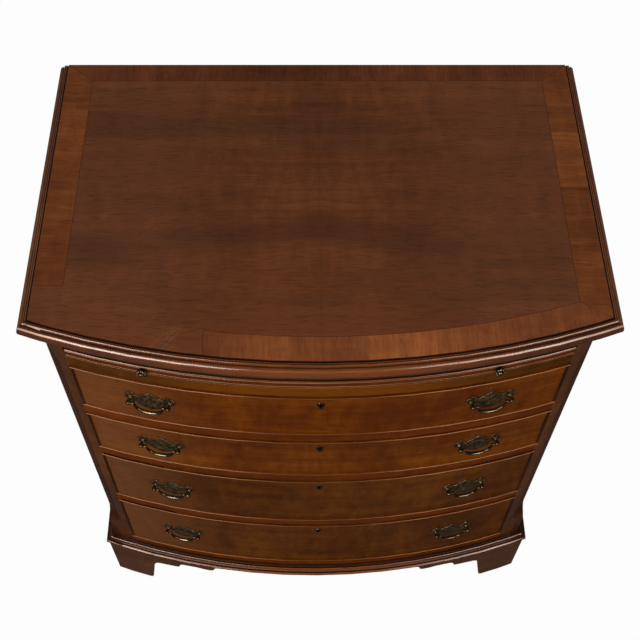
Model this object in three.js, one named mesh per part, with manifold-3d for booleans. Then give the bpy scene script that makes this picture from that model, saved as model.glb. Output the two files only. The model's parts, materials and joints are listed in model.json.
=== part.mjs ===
// Bow front chest of drawers with a brushing slide, canted fluted corners and bracket feet.
// Millimetres, +Z up, the front looks along -Y, the floor is z = 0.
// The origin lies on the floor, midway across and midway from the front edge of the top to its back.
import * as THREE from 'three';
import { mergeVertices } from 'three/addons/utils/BufferGeometryUtils.js';
import Module from 'manifold-3d';

// Overall sizes
const FIELD_WIDTH = 800;
const FIELD_DEPTH = 488;
const BOW_RISE = 67;

// Top and its moulded edge
const TOP_THICK = 22;
const EDGE_PROJECTION = 16.2;

// Carcase
const CARCASE_INSET = 1;
const BACK_OVERHANG = 4;
const SIDE_THICK = 18;
const BACK_THICK = 10;
const RAIL_THICK = 24.5;
const RAIL_DEPTH = 40;
const DUST_BOARD_THICK = 11;
const TOP_RAIL_HEIGHT = 30;
const BOTTOM_RAIL_HEIGHT = 40;
const GUIDE_HEIGHT = 15;
const GUIDE_CLEARANCE = 1.2;

// Openings for the slide and the four drawers, from the top down
const SLIDE_OPENING = 24.5;
const DRAWER_1_OPENING = 116.5;
const DRAWER_2_OPENING = 119.5;
const DRAWER_3_OPENING = 167;
const DRAWER_4_OPENING = 179.5;

// Corner posts
const POST_DEPTH = 58;
const CANT_WIDTH = 25.6;
const STILE_WIDTH = 12.4;
const FLUTE_RADIUS = 4.1;
const FLUTE_PITCH = 10.8;
const FLUTE_SINK = 2.9;
const FLUTE_HEAD_DROP = 102;
const TONGUE_FOOT = 63;
const TONGUE_RISE = 27;
const FLUTE_FOOT_GAP = 14;

// Base
const BRACKET_HEIGHT = 146;
const BRACKET_THICK = 22;
const BRACKET_PROJECTION = 13.7;
const BRACKET_REACH = 219;
const REAR_BRACKET_REACH = 118;
const REAR_BRACKET_THICK = 18;
const BASE_MOULD_HEIGHT = 17.5;
const BASE_MOULD_PROJECTION = 17.7;

// Brushing slide
const SLIDE_GAP = 0.7;
const SLIDE_SIDE_GAP = 0.8;
const SLIDE_BOARD_THICK = 16.5;
const SLIDE_LIP_DEPTH = 24;
const SLIDE_BACK_GAP = 70;
const SLIDE_HOLLOW = 5.5;
const SLIDE_QUIRK = 1.3;

// Drawers
const DRAWER_GAP = 1;
const DRAWER_FLOOR_GAP = 0.4;
const DRAWER_FRONT_THICK = 20;
const DRAWER_SIDE_THICK = 11;
const DRAWER_BACK_THICK = 9;
const DRAWER_BOTTOM_THICK = 7;
const DRAWER_BOTTOM_LIFT = 9;
const DRAWER_GROOVE = 4.5;
const DRAWER_GROOVE_PLAY = 0.15;
const DRAWER_BACK_GAP = 12;
const DRAWER_TOP_DROP = 5;
const DRAWER_BACK_DROP = 14;
const BEAD_WIDTH = 3.4;
const BEAD_PROJECTION = 3;
const TAIL_DEPTH = 12;
const TAIL_HEIGHT = 22;
const TAIL_PITCH = 36;
const TAIL_SPLAY = 2.6;
const TAIL_PLAY = 0.15;

// Locks
const KEYHOLE_DROP = 23;
const KEYHOLE_RADIUS = 2.7;
const KEYHOLE_SLOT_WIDTH = 2.7;
const KEYHOLE_SLOT_LENGTH = 8.2;
const ESCUTCHEON_WIDTH = 12;
const ESCUTCHEON_HEIGHT = 17;
const ESCUTCHEON_RISE = 5.8;
const ESCUTCHEON_DEPTH = 3.5;
const ESCUTCHEON_CROWN = 1.1;
const ESCUTCHEON_PLAY = 0.1;

// Handles
const HANDLE_MARGIN = 112;
const HANDLE_LIFT = 7;
const PLATE_WIDTH = 78;
const PLATE_HEIGHT = 51;
const PLATE_RISE = 21.5;
const PLATE_THICK = 1.8;
const POST_SPACING = 59.5;
const POST_REACH = 9;
const POST_BALL_RADIUS = 3.9;
const POST_FLANGE_RADIUS = 4.8;
const BAIL_DROP = 22;
const BAIL_WIRE_RADIUS = 1.5;
const BAIL_GRIP_RADIUS = 2.8;
const BAIL_PIN_PLAY = 0.4;
const BAIL_PIN_DEPTH = 3;
const BAIL_SHOULDER_RADIUS = 2.5;
const BAIL_SHOULDER_HALF = 2.4;
const BAIL_SHOULDER_PLAY = 0.5;

// Slide knobs: a petalled head on a short stem
const KNOB_LENGTH = 11;
const KNOB_HEAD_RADIUS = 8.2;
const KNOB_HEAD_REACH = 4.4;
const KNOB_HEAD_THICK = 2.6;
const KNOB_PETALS = 10;
const KNOB_PETAL_CUT = 1.5;
const KNOB_LIFT = 8.4;

// Shared allowances and fineness
const OVERRUN = 40;
const SEAT = 0.3;
const HAIRLINE = 0.05;
const WELD_LAP = 1;
const WELD = 0.0001;
const RING_SEGMENTS = 120;
const ROUND_SEGMENTS = 12;
const SMALL_SEGMENTS = 8;
const BAIL_STEPS = 14;
const BAIL_SIDES = 6;
const PETAL_STEPS = 2;

// Shapes as shares of the sizes that carry them.
// Edge of the top: share of its projection, share of its thickness down from the field.
const TOP_EDGE_SHARES = [
  [0, 0], [0.02, 0], [0.03, 0.11], [0.14, 0.11], [0.16, 0.055], [0.265, 0.055], [0.295, 0.12], [0.33, 0.06],
  [0.43, 0.075], [0.46, 0.24], [0.555, 0.24], [0.565, 0.205], [0.65, 0.205], [0.77, 0.255], [0.88, 0.355],
  [0.96, 0.5], [1, 0.68], [0.99, 0.85], [0.8, 1],
];
// Base moulding: share of its projection, share of its height up from the brackets.
const BASE_MOULD_SHARES = [
  [0.76, 0], [0.93, 0.06], [1, 0.22], [0.97, 0.4], [0.84, 0.5], [0.82, 0.43], [0.68, 0.46], [0.57, 0.54],
  [0.515, 0.66], [0.48, 0.77], [0.4, 0.8], [0.34, 0.7], [0.22, 0.77], [0.14, 0.88], [0.1, 1],
];
// Bracket foot and apron: share of its reach from the corner, share of the bracket's height.
const BRACKET_SHARES = [
  [0.3, 0], [0.328, 0.02], [0.34, 0.08], [0.35, 0.22], [0.37, 0.45], [0.392, 0.6], [0.412, 0.665],
  [0.44, 0.69], [0.52, 0.7], [0.575, 0.705], [0.612, 0.712], [0.632, 0.735], [0.636, 0.775], [0.645, 0.81], [0.668, 0.838],
  [0.72, 0.846], [0.8, 0.838], [0.87, 0.815], [0.918, 0.812], [0.945, 0.83], [0.955, 0.87],
  [0.966, 0.92], [1, 0.952],
];
// Plain rear bracket: share of its reach from the corner, share of the bracket's height.
const REAR_BRACKET_SHARES = [[0.4, 0], [0.48, 0.35], [0.7, 0.72], [1, 1]];
// Lamb's tongue at the foot of the cant: share of the cant's depth, share of its rise.
const TONGUE_SHARES = [[1, 0], [0.95, 0.12], [0.82, 0.25], [0.6, 0.36], [0.36, 0.48], [0.17, 0.64], [0.05, 0.82], [0, 1]];
// Cock bead: share of its projection, share of its width.
const BEAD_SHARES = [[0, 0], [0.85, 0.1], [1, 0.5], [0.85, 0.9], [0, 1]];
// Front edge of the slide up from its underside: shares of the quirk's depth and of the face's height.
const SLIDE_EDGE_SHARES = [
  [0.6, 0], [0, 0.07], [0, 0.16], [1, 0.2], [0.1, 0.24],
  [0.1, 0.76], [1, 0.8], [0, 0.84], [0, 0.93], [0.6, 1],
];
// Hollow above it: shares of the hollow's depth and of what is left of the height.
const SLIDE_HOLLOW_SHARES = [[0.22, 0.14], [0.5, 0.4], [0.82, 0.68], [1, 1]];
// Right half of an escutcheon, from the top down: shares of half its width and of its height.
const ESCUTCHEON_SHARES = [
  [0, 0], [0.5, 0.05], [0.87, 0.19], [1, 0.38], [0.86, 0.58], [0.64, 0.76], [0.56, 0.9], [0.34, 0.99], [0, 1],
];
// Right half of a back plate, from the top point down: shares of half its width and of its height.
const PLATE_SHARES = [
  [0, 0], [0.09, 0.075], [0.46, 0.3], [0.545, 0.265], [0.63, 0.17], [0.71, 0.12], [0.785, 0.145], [0.82, 0.23],
  [0.92, 0.25], [0.93, 0.37], [1, 0.45], [0.95, 0.54], [0.84, 0.56], [0.77, 0.655], [0.54, 0.715],
  [0.42, 0.81], [0.12, 0.94], [0, 1],
];
// Handle post from its flange: share of the ball's radius, share of the reach to the ball's centre.
const POST_SHARES = [[1.15, 0.28], [0.5, 0.4]];
const BALL_SHARES = [[0.6, -0.8], [1, -0.28], [1, 0.28], [0.6, 0.8], [0, 1]];
// Bail from inside one of its shoulders to its middle: share of half the spacing, share of the drop.
const BAIL_SHARES = [[0.73, 0], [0.735, -0.28], [0.7, -0.55], [0.6, -0.8], [0.42, -0.94], [0.2, -0.99], [0, -1]];
// Shoulder of a bail: share of its radius, share of its half width.
const SHOULDER_SHARES = [[1, 0.5], [1, -0.5], [0, -1]];
// Stem and crown of a knob: share of the head's radius, share of the knob's length.
const KNOB_SHARES = [
  [0.62, 0], [0.62, 0.08], [0.34, 0.16], [0.3, 0.34], [0.52, 0.42], [0.66, 0.64], [0.6, 0.76], [0.4, 0.91], [0, 1],
];

// Wood and brass, as red, green and blue shares
const FINISHES = {
  topWood: { colourShares: [0.23, 0.075, 0.032], roughness: 0.3 },
  edgeWood: { colourShares: [0.16, 0.05, 0.024], roughness: 0.28 },
  frontWood: { colourShares: [0.25, 0.095, 0.028], roughness: 0.34 },
  carcaseWood: { colourShares: [0.19, 0.068, 0.025], roughness: 0.36 },
  liningWood: { colourShares: [0.4, 0.27, 0.14], roughness: 0.7 },
  backWood: { colourShares: [0.33, 0.21, 0.11], roughness: 0.8 },
  brass: { colourShares: [0.24, 0.19, 0.09], roughness: 0.38, metalness: 1 },
};

// Places worked out from the sizes
const BOW_RADIUS = ((FIELD_WIDTH / 2) ** 2 + BOW_RISE ** 2) / (2 * BOW_RISE);
const BOW_CENTRE_Y = BOW_RADIUS - BOW_RISE;
const STATION = (2 * Math.PI) / RING_SEGMENTS;
const CARCASE_HALF = FIELD_WIDTH / 2 - CARCASE_INSET;
const OPENING_HALF = CARCASE_HALF - CANT_WIDTH - STILE_WIDTH;
const INNER_HALF = CARCASE_HALF - SIDE_THICK;
const HANDLE_PLACE = OPENING_HALF - HANDLE_MARGIN;
const CARCASE_BACK = FIELD_DEPTH - BACK_OVERHANG;
const BACK_FACE = CARCASE_BACK - BACK_THICK;
const BOTTOM_FLOOR = BRACKET_HEIGHT + BOTTOM_RAIL_HEIGHT;
const DRAWER_OPENINGS = [DRAWER_1_OPENING, DRAWER_2_OPENING, DRAWER_3_OPENING, DRAWER_4_OPENING];
const DRAWER_FLOORS = DRAWER_OPENINGS.map((opening, index) => {
  const below = DRAWER_OPENINGS.slice(index + 1);
  return below.reduce((height, lower) => height + lower + RAIL_THICK, BOTTOM_FLOOR);
});
const DRAWER_CEILINGS = DRAWER_FLOORS.map((floor, index) => floor + DRAWER_OPENINGS[index]);
const SLIDE_FLOOR = DRAWER_CEILINGS[0] + RAIL_THICK;
const SLIDE_CEILING = SLIDE_FLOOR + SLIDE_OPENING;
const TOP_UNDERSIDE = SLIDE_CEILING + TOP_RAIL_HEIGHT;
const CHEST_HEIGHT = TOP_UNDERSIDE + TOP_THICK;
const FRONT_REACH = Math.max(EDGE_PROJECTION, BASE_MOULD_PROJECTION - CARCASE_INSET);
const ORIGIN_Y = (FIELD_DEPTH - BOW_RISE - FRONT_REACH) / 2;

const wasm = await Module();
wasm.setup();

// Solid modelling helpers
function signedVolume(positions, triangles) {
  const a = new THREE.Vector3();
  const b = new THREE.Vector3();
  const c = new THREE.Vector3();
  let sum = 0;
  for (let i = 0; i < triangles.length; i += 3) {
    a.fromArray(positions, triangles[i] * 3);
    b.fromArray(positions, triangles[i + 1] * 3);
    c.fromArray(positions, triangles[i + 2] * 3);
    sum += a.dot(b.cross(c));
  }
  return sum;
}

function solid(geometry) {
  const plain = new THREE.BufferGeometry();
  plain.setAttribute('position', geometry.getAttribute('position').clone());
  if (geometry.index) plain.setIndex(geometry.index.clone());
  const welded = mergeVertices(plain, WELD);
  const positions = welded.getAttribute('position').array;
  const triangles = [];
  for (let i = 0; i < welded.index.count; i += 3) {
    const corners = [welded.index.getX(i), welded.index.getX(i + 1), welded.index.getX(i + 2)];
    if (new Set(corners).size === 3) triangles.push(...corners);
  }
  if (signedVolume(positions, triangles) < 0) triangles.reverse();
  const mesh = new wasm.Mesh({
    numProp: 3,
    vertProperties: new Float32Array(positions),
    triVerts: new Uint32Array(triangles),
  });
  return new wasm.Manifold(mesh);
}

function asGeometry(body) {
  const mesh = body.getMesh();
  const geometry = new THREE.BufferGeometry();
  geometry.setAttribute('position', new THREE.BufferAttribute(new Float32Array(mesh.vertProperties), 3));
  geometry.setIndex(new THREE.BufferAttribute(new Uint32Array(mesh.triVerts), 1));
  geometry.computeVertexNormals();
  return geometry;
}

// Point of the bow's facets at a distance across, set in by an inset.
function bowY(x, inset) {
  const radius = BOW_RADIUS - inset;
  const k = Math.floor(Math.asin(Math.abs(x) / radius) / STATION);
  const xa = radius * Math.sin(k * STATION);
  const xb = radius * Math.sin((k + 1) * STATION);
  const ya = BOW_CENTRE_Y - radius * Math.cos(k * STATION);
  const yb = BOW_CENTRE_Y - radius * Math.cos((k + 1) * STATION);
  return ya + ((yb - ya) * (Math.abs(x) - xa)) / (xb - xa);
}

// The bow's facets from one x to another, as plan points.
function bowLine(inset, from, to) {
  const radius = BOW_RADIUS - inset;
  const points = [[from, bowY(from, inset)]];
  for (let k = -RING_SEGMENTS / 4 + 1; k < RING_SEGMENTS / 4; k += 1) {
    const x = radius * Math.sin(k * STATION);
    if (x > from + SEAT && x < to - SEAT) points.push([x, BOW_CENTRE_Y - radius * Math.cos(k * STATION)]);
  }
  points.push([to, bowY(to, inset)]);
  return points;
}

function shapeOf(points) {
  return new THREE.Shape(points.map(([x, y]) => new THREE.Vector2(x, y)));
}

// A plan outline raised from one height to another.
function plank(points, low, high) {
  const geometry = new THREE.ExtrudeGeometry(shapeOf(points), { depth: high - low, bevelEnabled: false });
  geometry.translate(0, 0, low);
  return solid(geometry);
}

function block(x0, x1, y0, y1, z0, z1) {
  const geometry = new THREE.BoxGeometry(x1 - x0, y1 - y0, z1 - z0);
  geometry.translate((x0 + x1) / 2, (y0 + y1) / 2, (z0 + z1) / 2);
  return solid(geometry);
}

// An outline in x and z, run from one y to another.
function elevation(points, y0, y1) {
  const geometry = new THREE.ExtrudeGeometry(shapeOf(points), { depth: y1 - y0, bevelEnabled: false });
  geometry.rotateX(Math.PI / 2);
  geometry.translate(0, y1, 0);
  return solid(geometry);
}

// An outline in y and z, run from one x to another.
function sideElevation(points, x0, x1) {
  const geometry = new THREE.ExtrudeGeometry(shapeOf(points), { depth: x1 - x0, bevelEnabled: false });
  geometry.rotateX(Math.PI / 2);
  geometry.rotateZ(Math.PI / 2);
  geometry.translate(x0, 0, 0);
  return solid(geometry);
}

// A closed section of insets and heights, turned about the bow's upright axis.
function bowRing(section) {
  const points = section.map(([inset, z]) => new THREE.Vector2(BOW_RADIUS - inset, z));
  points.push(points[0].clone());
  const geometry = new THREE.LatheGeometry(points, RING_SEGMENTS);
  geometry.rotateX(Math.PI / 2);
  geometry.translate(0, BOW_CENTRE_Y, 0);
  return solid(geometry);
}

// The same for a section that reaches the axis itself.
function bowDisc(section) {
  const points = section.map(([inset, z]) => new THREE.Vector2(BOW_RADIUS - inset, z));
  points.unshift(new THREE.Vector2(0, section[0][1]));
  points.push(new THREE.Vector2(0, section[section.length - 1][1]));
  const geometry = new THREE.LatheGeometry(points, RING_SEGMENTS);
  geometry.rotateX(Math.PI / 2);
  geometry.translate(0, BOW_CENTRE_Y, 0);
  return solid(geometry);
}

// A turned form whose axis is -y, from points of radius and length.
function turned(points, segments) {
  const geometry = new THREE.LatheGeometry(points.map(([r, a]) => new THREE.Vector2(r, a)), segments);
  geometry.rotateX(Math.PI);
  return geometry;
}

const group = new THREE.Group();
group.name = 'bow_front_chest';
group.position.y = -ORIGIN_Y;

function put(name, body, finish, parent = group) {
  const material = new THREE.MeshStandardMaterial({
    color: new THREE.Color(...finish.colourShares),
    roughness: finish.roughness,
    metalness: finish.metalness ?? 0,
  });
  const mesh = new THREE.Mesh(body.isBufferGeometry ? body : asGeometry(body), material);
  mesh.name = name;
  parent.add(mesh);
  return mesh;
}

// A slab whose front is bowed and whose three moulded edges follow one section.
function mouldedSlab(edge, half, inset, back) {
  const front = bowDisc(edge.map(([out, z]) => [inset - out, z]));
  const right = edge.map(([out, z]) => [half + out, z]);
  const left = edge.map(([out, z]) => [-half - out, z]).reverse();
  return front.intersect(elevation([...right, ...left], -FIELD_DEPTH, back));
}

// Top: a veneered panel and the moulding planted round its front and sides
const topPlan = [...bowLine(0, -FIELD_WIDTH / 2, FIELD_WIDTH / 2), [FIELD_WIDTH / 2, FIELD_DEPTH], [-FIELD_WIDTH / 2, FIELD_DEPTH]];
put('top_panel', plank(topPlan, TOP_UNDERSIDE, CHEST_HEIGHT), FINISHES.topWood);

const topEdge = TOP_EDGE_SHARES.map(([out, down]) => [out * EDGE_PROJECTION, CHEST_HEIGHT - down * TOP_THICK]).reverse();
const topCore = [
  ...bowLine(0, -FIELD_WIDTH / 2, FIELD_WIDTH / 2),
  [FIELD_WIDTH / 2, FIELD_DEPTH + OVERRUN],
  [-FIELD_WIDTH / 2, FIELD_DEPTH + OVERRUN],
];
const topMoulding = mouldedSlab(topEdge, FIELD_WIDTH / 2, 0, FIELD_DEPTH)
  .subtract(plank(topCore, TOP_UNDERSIDE - OVERRUN, CHEST_HEIGHT + OVERRUN));
put('top_moulding', topMoulding, FINISHES.edgeWood);

// Corner posts: canted, fluted, and left square at the foot below a lamb's tongue
const postBack = bowY(CARCASE_HALF, CARCASE_INSET) + POST_DEPTH;
const cantRear = [CARCASE_HALF, bowY(CARCASE_HALF, CARCASE_INSET) + CANT_WIDTH];
const cantFront = [CARCASE_HALF - CANT_WIDTH, bowY(CARCASE_HALF - CANT_WIDTH, CARCASE_INSET)];
const cantLength = Math.hypot(cantRear[0] - cantFront[0], cantRear[1] - cantFront[1]);
const cantTurn = Math.atan2(cantRear[1] - cantFront[1], cantRear[0] - cantFront[0]);
const cornerDepth = (CARCASE_HALF - cantFront[0]) * Math.sin(cantTurn)
  - (bowY(CARCASE_HALF, CARCASE_INSET) - cantFront[1]) * Math.cos(cantTurn);
const tongueFoot = BRACKET_HEIGHT + BASE_MOULD_HEIGHT + TONGUE_FOOT;
const fluteFoot = tongueFoot + TONGUE_RISE + FLUTE_FOOT_GAP + FLUTE_RADIUS;
const fluteHead = CHEST_HEIGHT - FLUTE_HEAD_DROP;

// Moves a form from the cant's own frame, x along the cant and -y out of it, to its place on the right.
function onCant(geometry) {
  geometry.rotateZ(cantTurn);
  geometry.translate((cantRear[0] + cantFront[0]) / 2, (cantRear[1] + cantFront[1]) / 2, 0);
  return solid(geometry);
}

function cornerPost() {
  const plan = [
    ...bowLine(CARCASE_INSET, OPENING_HALF, CARCASE_HALF),
    [CARCASE_HALF, postBack],
    [OPENING_HALF, postBack],
  ];
  let post = plank(plan, BRACKET_HEIGHT, TOP_UNDERSIDE);
  const cut = [
    [0, TOP_UNDERSIDE + OVERRUN],
    [-OVERRUN, TOP_UNDERSIDE + OVERRUN],
    [-OVERRUN, tongueFoot],
    ...TONGUE_SHARES.map(([out, up]) => [-out * cornerDepth, tongueFoot + up * TONGUE_RISE]),
  ];
  const cutter = new THREE.ExtrudeGeometry(shapeOf(cut), { depth: 2 * OVERRUN, bevelEnabled: false });
  cutter.rotateX(Math.PI / 2);
  cutter.rotateZ(Math.PI / 2);
  cutter.translate(-OVERRUN, 0, 0);
  post = post.subtract(onCant(cutter));
  for (const place of [-1, 0, 1]) {
    const sink = FLUTE_RADIUS - FLUTE_SINK;
    const flute = new THREE.CapsuleGeometry(FLUTE_RADIUS, fluteHead - fluteFoot, ROUND_SEGMENTS / 4, ROUND_SEGMENTS);
    flute.rotateX(Math.PI / 2);
    flute.translate(place * FLUTE_PITCH, -sink, (fluteHead + fluteFoot) / 2);
    post = post.subtract(onCant(flute));
  }
  return post;
}

const post = cornerPost();
put('corner_post_left', post.mirror([1, 0, 0]), FINISHES.carcaseWood);
put('corner_post_right', post, FINISHES.carcaseWood);

// Sides and back
put('side_left', block(-CARCASE_HALF, -INNER_HALF, postBack, CARCASE_BACK, BRACKET_HEIGHT, TOP_UNDERSIDE), FINISHES.carcaseWood);
put('side_right', block(INNER_HALF, CARCASE_HALF, postBack, CARCASE_BACK, BRACKET_HEIGHT, TOP_UNDERSIDE), FINISHES.carcaseWood);
put('back_panel', block(-INNER_HALF, INNER_HALF, BACK_FACE, CARCASE_BACK, BRACKET_HEIGHT, TOP_UNDERSIDE), FINISHES.backWood);

// Rails: a bowed front strip, and behind it a dust board with a guide for the drawer at each side
const railBack = bowY(OPENING_HALF, CARCASE_INSET) + RAIL_DEPTH;

function railPlan() {
  return [
    ...bowLine(CARCASE_INSET, -OPENING_HALF, OPENING_HALF),
    [OPENING_HALF, railBack],
    [-OPENING_HALF, railBack],
  ];
}

function boardPlan() {
  return [
    [-OPENING_HALF, railBack - WELD_LAP],
    [OPENING_HALF, railBack - WELD_LAP],
    [OPENING_HALF, postBack],
    [INNER_HALF, postBack],
    [INNER_HALF, BACK_FACE],
    [-INNER_HALF, BACK_FACE],
    [-INNER_HALF, postBack],
    [-OPENING_HALF, postBack],
  ];
}

function guide(side, floor) {
  const near = side * (OPENING_HALF + GUIDE_CLEARANCE);
  const far = side * INNER_HALF;
  return block(Math.min(near, far), Math.max(near, far), postBack, BACK_FACE, floor - DUST_BOARD_THICK, floor + GUIDE_HEIGHT);
}

function divider(floor, thick) {
  return plank(railPlan(), floor - thick, floor)
    .add(plank(boardPlan(), floor - DUST_BOARD_THICK, floor))
    .add(guide(-1, floor))
    .add(guide(1, floor));
}

put('top_rail', plank(railPlan(), SLIDE_CEILING, TOP_UNDERSIDE), FINISHES.carcaseWood);
put('divider_slide', divider(SLIDE_FLOOR, RAIL_THICK), FINISHES.carcaseWood);
put('divider_1', divider(DRAWER_FLOORS[0], RAIL_THICK), FINISHES.carcaseWood);
put('divider_2', divider(DRAWER_FLOORS[1], RAIL_THICK), FINISHES.carcaseWood);
put('divider_3', divider(DRAWER_FLOORS[2], RAIL_THICK), FINISHES.carcaseWood);
put('bottom_board', divider(BOTTOM_FLOOR, BOTTOM_RAIL_HEIGHT), FINISHES.carcaseWood);

// Base: moulding on top of the brackets, round the front and sides
const baseEdge = BASE_MOULD_SHARES.map(([out, up]) => [out * BASE_MOULD_PROJECTION, BRACKET_HEIGHT + up * BASE_MOULD_HEIGHT]);
const carcasePlan = [
  ...bowLine(CARCASE_INSET, -CARCASE_HALF, CARCASE_HALF),
  [CARCASE_HALF, CARCASE_BACK + OVERRUN],
  [-CARCASE_HALF, CARCASE_BACK + OVERRUN],
];
const baseMoulding = mouldedSlab(baseEdge, CARCASE_HALF, CARCASE_INSET, CARCASE_BACK)
  .subtract(plank(carcasePlan, BRACKET_HEIGHT - OVERRUN, BRACKET_HEIGHT + BASE_MOULD_HEIGHT + OVERRUN));
put('base_moulding', baseMoulding, FINISHES.edgeWood);

// Bracket feet and aprons, mitred at the two front corners
const bracketHalf = CARCASE_HALF + BRACKET_PROJECTION;
const bracketInset = CARCASE_INSET - BRACKET_PROJECTION;
const bracketInner = bracketHalf - BRACKET_THICK;

function bracketOutline(from, to) {
  const curve = BRACKET_SHARES.map(([along, up]) => [along * BRACKET_REACH, up * BRACKET_HEIGHT]);
  return [
    [from, BRACKET_HEIGHT],
    [from, 0],
    ...curve.map(([along, z]) => [from + along, z]),
    ...curve.map(([along, z]) => [to - along, z]).reverse(),
    [to, 0],
    [to, BRACKET_HEIGHT],
  ];
}

const frontApronPlan = [
  ...bowLine(bracketInset, -bracketHalf, bracketHalf),
  ...bowLine(bracketInset + BRACKET_THICK, -bracketInner, bracketInner).reverse(),
];
const frontApron = plank(frontApronPlan, 0, BRACKET_HEIGHT)
  .intersect(elevation(bracketOutline(-bracketHalf, bracketHalf), -FIELD_DEPTH, FIELD_DEPTH));
put('apron_front', frontApron, FINISHES.edgeWood);

const sideApronPlan = [
  [bracketHalf, bowY(bracketHalf, bracketInset)],
  [bracketHalf, CARCASE_BACK],
  [bracketInner, CARCASE_BACK],
  [bracketInner, bowY(bracketInner, bracketInset + BRACKET_THICK)],
];
const sideApron = plank(sideApronPlan, 0, BRACKET_HEIGHT)
  .intersect(sideElevation(bracketOutline(bowY(bracketHalf, bracketInset), CARCASE_BACK), bracketInner - OVERRUN, bracketHalf + OVERRUN));
const rearOutline = [
  [bracketHalf - BRACKET_THICK / 2, BRACKET_HEIGHT],
  [bracketHalf - BRACKET_THICK / 2, 0],
  ...REAR_BRACKET_SHARES.map(([along, up]) => [bracketHalf - along * REAR_BRACKET_REACH, up * BRACKET_HEIGHT]),
];
const bracketRight = sideApron.add(elevation(rearOutline, CARCASE_BACK - REAR_BRACKET_THICK, CARCASE_BACK));
put('apron_left', bracketRight.mirror([1, 0, 0]), FINISHES.edgeWood);
put('apron_right', bracketRight, FINISHES.edgeWood);

// Brushing slide: a board behind a bowed and moulded front edge, with two knobs
const slideHalf = OPENING_HALF - SLIDE_SIDE_GAP;
const slideLow = SLIDE_FLOOR + SLIDE_GAP;
const slideHigh = SLIDE_CEILING - SLIDE_GAP;
const slideFaceHigh = slideLow + SLIDE_BOARD_THICK;
const slideEdge = [
  [CARCASE_INSET + SLIDE_LIP_DEPTH, slideLow],
  ...SLIDE_EDGE_SHARES.map(([into, up]) => [CARCASE_INSET + into * SLIDE_QUIRK, slideLow + up * SLIDE_BOARD_THICK]),
  ...SLIDE_HOLLOW_SHARES.map(([into, up]) => [CARCASE_INSET + into * SLIDE_HOLLOW, slideFaceHigh + up * (slideHigh - slideFaceHigh)]),
  [CARCASE_INSET + SLIDE_LIP_DEPTH, slideHigh],
];
const slidePlan = [
  ...bowLine(CARCASE_INSET + SLIDE_LIP_DEPTH / 2, -slideHalf, slideHalf),
  [slideHalf, BACK_FACE - SLIDE_BACK_GAP],
  [-slideHalf, BACK_FACE - SLIDE_BACK_GAP],
];
const slideBoard = bowRing(slideEdge)
  .intersect(block(-slideHalf, slideHalf, -FIELD_DEPTH, FIELD_DEPTH, slideLow - OVERRUN, slideHigh + OVERRUN))
  .add(plank(slidePlan, slideLow, slideFaceHigh));
put('slide_board', slideBoard, FINISHES.frontWood);

// Moves a form from a fitting's own frame, -y out of the bow, to its place across and up the front.
function onBow(geometry, side, inset, z) {
  const turn = Math.asin((side * HANDLE_PLACE) / (BOW_RADIUS - inset));
  geometry.rotateZ(turn);
  geometry.translate(side * HANDLE_PLACE, bowY(HANDLE_PLACE, inset), z);
  return geometry;
}

function knobForm() {
  const steps = PETAL_STEPS * KNOB_PETALS;
  const petals = [];
  for (let i = 0; i < steps; i += 1) {
    const angle = (2 * Math.PI * i) / steps;
    const radius = KNOB_HEAD_RADIUS - KNOB_PETAL_CUT * (1 - Math.abs(Math.sin((angle * KNOB_PETALS) / 2)));
    petals.push([radius * Math.cos(angle), radius * Math.sin(angle)]);
  }
  const head = elevation(petals, -KNOB_HEAD_REACH - KNOB_HEAD_THICK, -KNOB_HEAD_REACH);
  const stem = turned([[0, 0], ...KNOB_SHARES.map(([r, a]) => [r * KNOB_HEAD_RADIUS, a * KNOB_LENGTH])], SMALL_SEGMENTS);
  return asGeometry(head.add(solid(stem)));
}

for (const [side, word] of [[-1, 'left'], [1, 'right']]) {
  const knob = knobForm();
  knob.translate(0, -SEAT, 0);
  put(`slide_knob_${word}`, solid(onBow(knob, side, CARCASE_INSET, slideLow + KNOB_LIFT)), FINISHES.brass);
}

// Drawers
const drawerHalf = OPENING_HALF - DRAWER_GAP;
const drawerSideInner = drawerHalf - DRAWER_SIDE_THICK;
const drawerInset = CARCASE_INSET + DRAWER_FRONT_THICK;
const drawerRear = BACK_FACE - DRAWER_BACK_GAP;

function dovetails(low, high) {
  const count = Math.floor((high - low) / TAIL_PITCH);
  const middle = (low + high) / 2;
  const places = [];
  for (let i = 0; i < count; i += 1) places.push(middle + (i - (count - 1) / 2) * TAIL_PITCH);
  return places;
}

// The tails of a drawer's right side, reaching forward into its front, or with a play the sockets for them.
function tails(low, high, play) {
  const root = Math.max(bowY(drawerHalf, drawerInset), bowY(drawerSideInner, drawerInset)) + TAIL_SPLAY;
  const tip = bowY(drawerSideInner, drawerInset) - TAIL_DEPTH - play;
  const half = TAIL_HEIGHT / 2 + play;
  let set = null;
  for (const z of dovetails(low, high)) {
    const tail = sideElevation([
      [root, z - half + TAIL_SPLAY],
      [root, z + half - TAIL_SPLAY],
      [tip, z + half],
      [tip, z - half],
    ], drawerSideInner - play, drawerHalf + play);
    set = set ? set.add(tail) : tail;
  }
  return set;
}

function drawerSide(low, high) {
  const plan = [
    ...bowLine(drawerInset + HAIRLINE, drawerSideInner, drawerHalf),
    [drawerHalf, drawerRear],
    [drawerSideInner, drawerRear],
  ];
  const grooveLow = low + DRAWER_BOTTOM_LIFT - DRAWER_GROOVE_PLAY;
  const grooveHigh = low + DRAWER_BOTTOM_LIFT + DRAWER_BOTTOM_THICK + DRAWER_GROOVE_PLAY;
  return plank(plan, low, high)
    .add(tails(low, high, 0))
    .subtract(block(
      drawerSideInner - OVERRUN,
      drawerSideInner + DRAWER_GROOVE + DRAWER_GROOVE_PLAY,
      bowY(drawerSideInner, drawerInset),
      FIELD_DEPTH + OVERRUN,
      grooveLow,
      grooveHigh,
    ));
}

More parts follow.
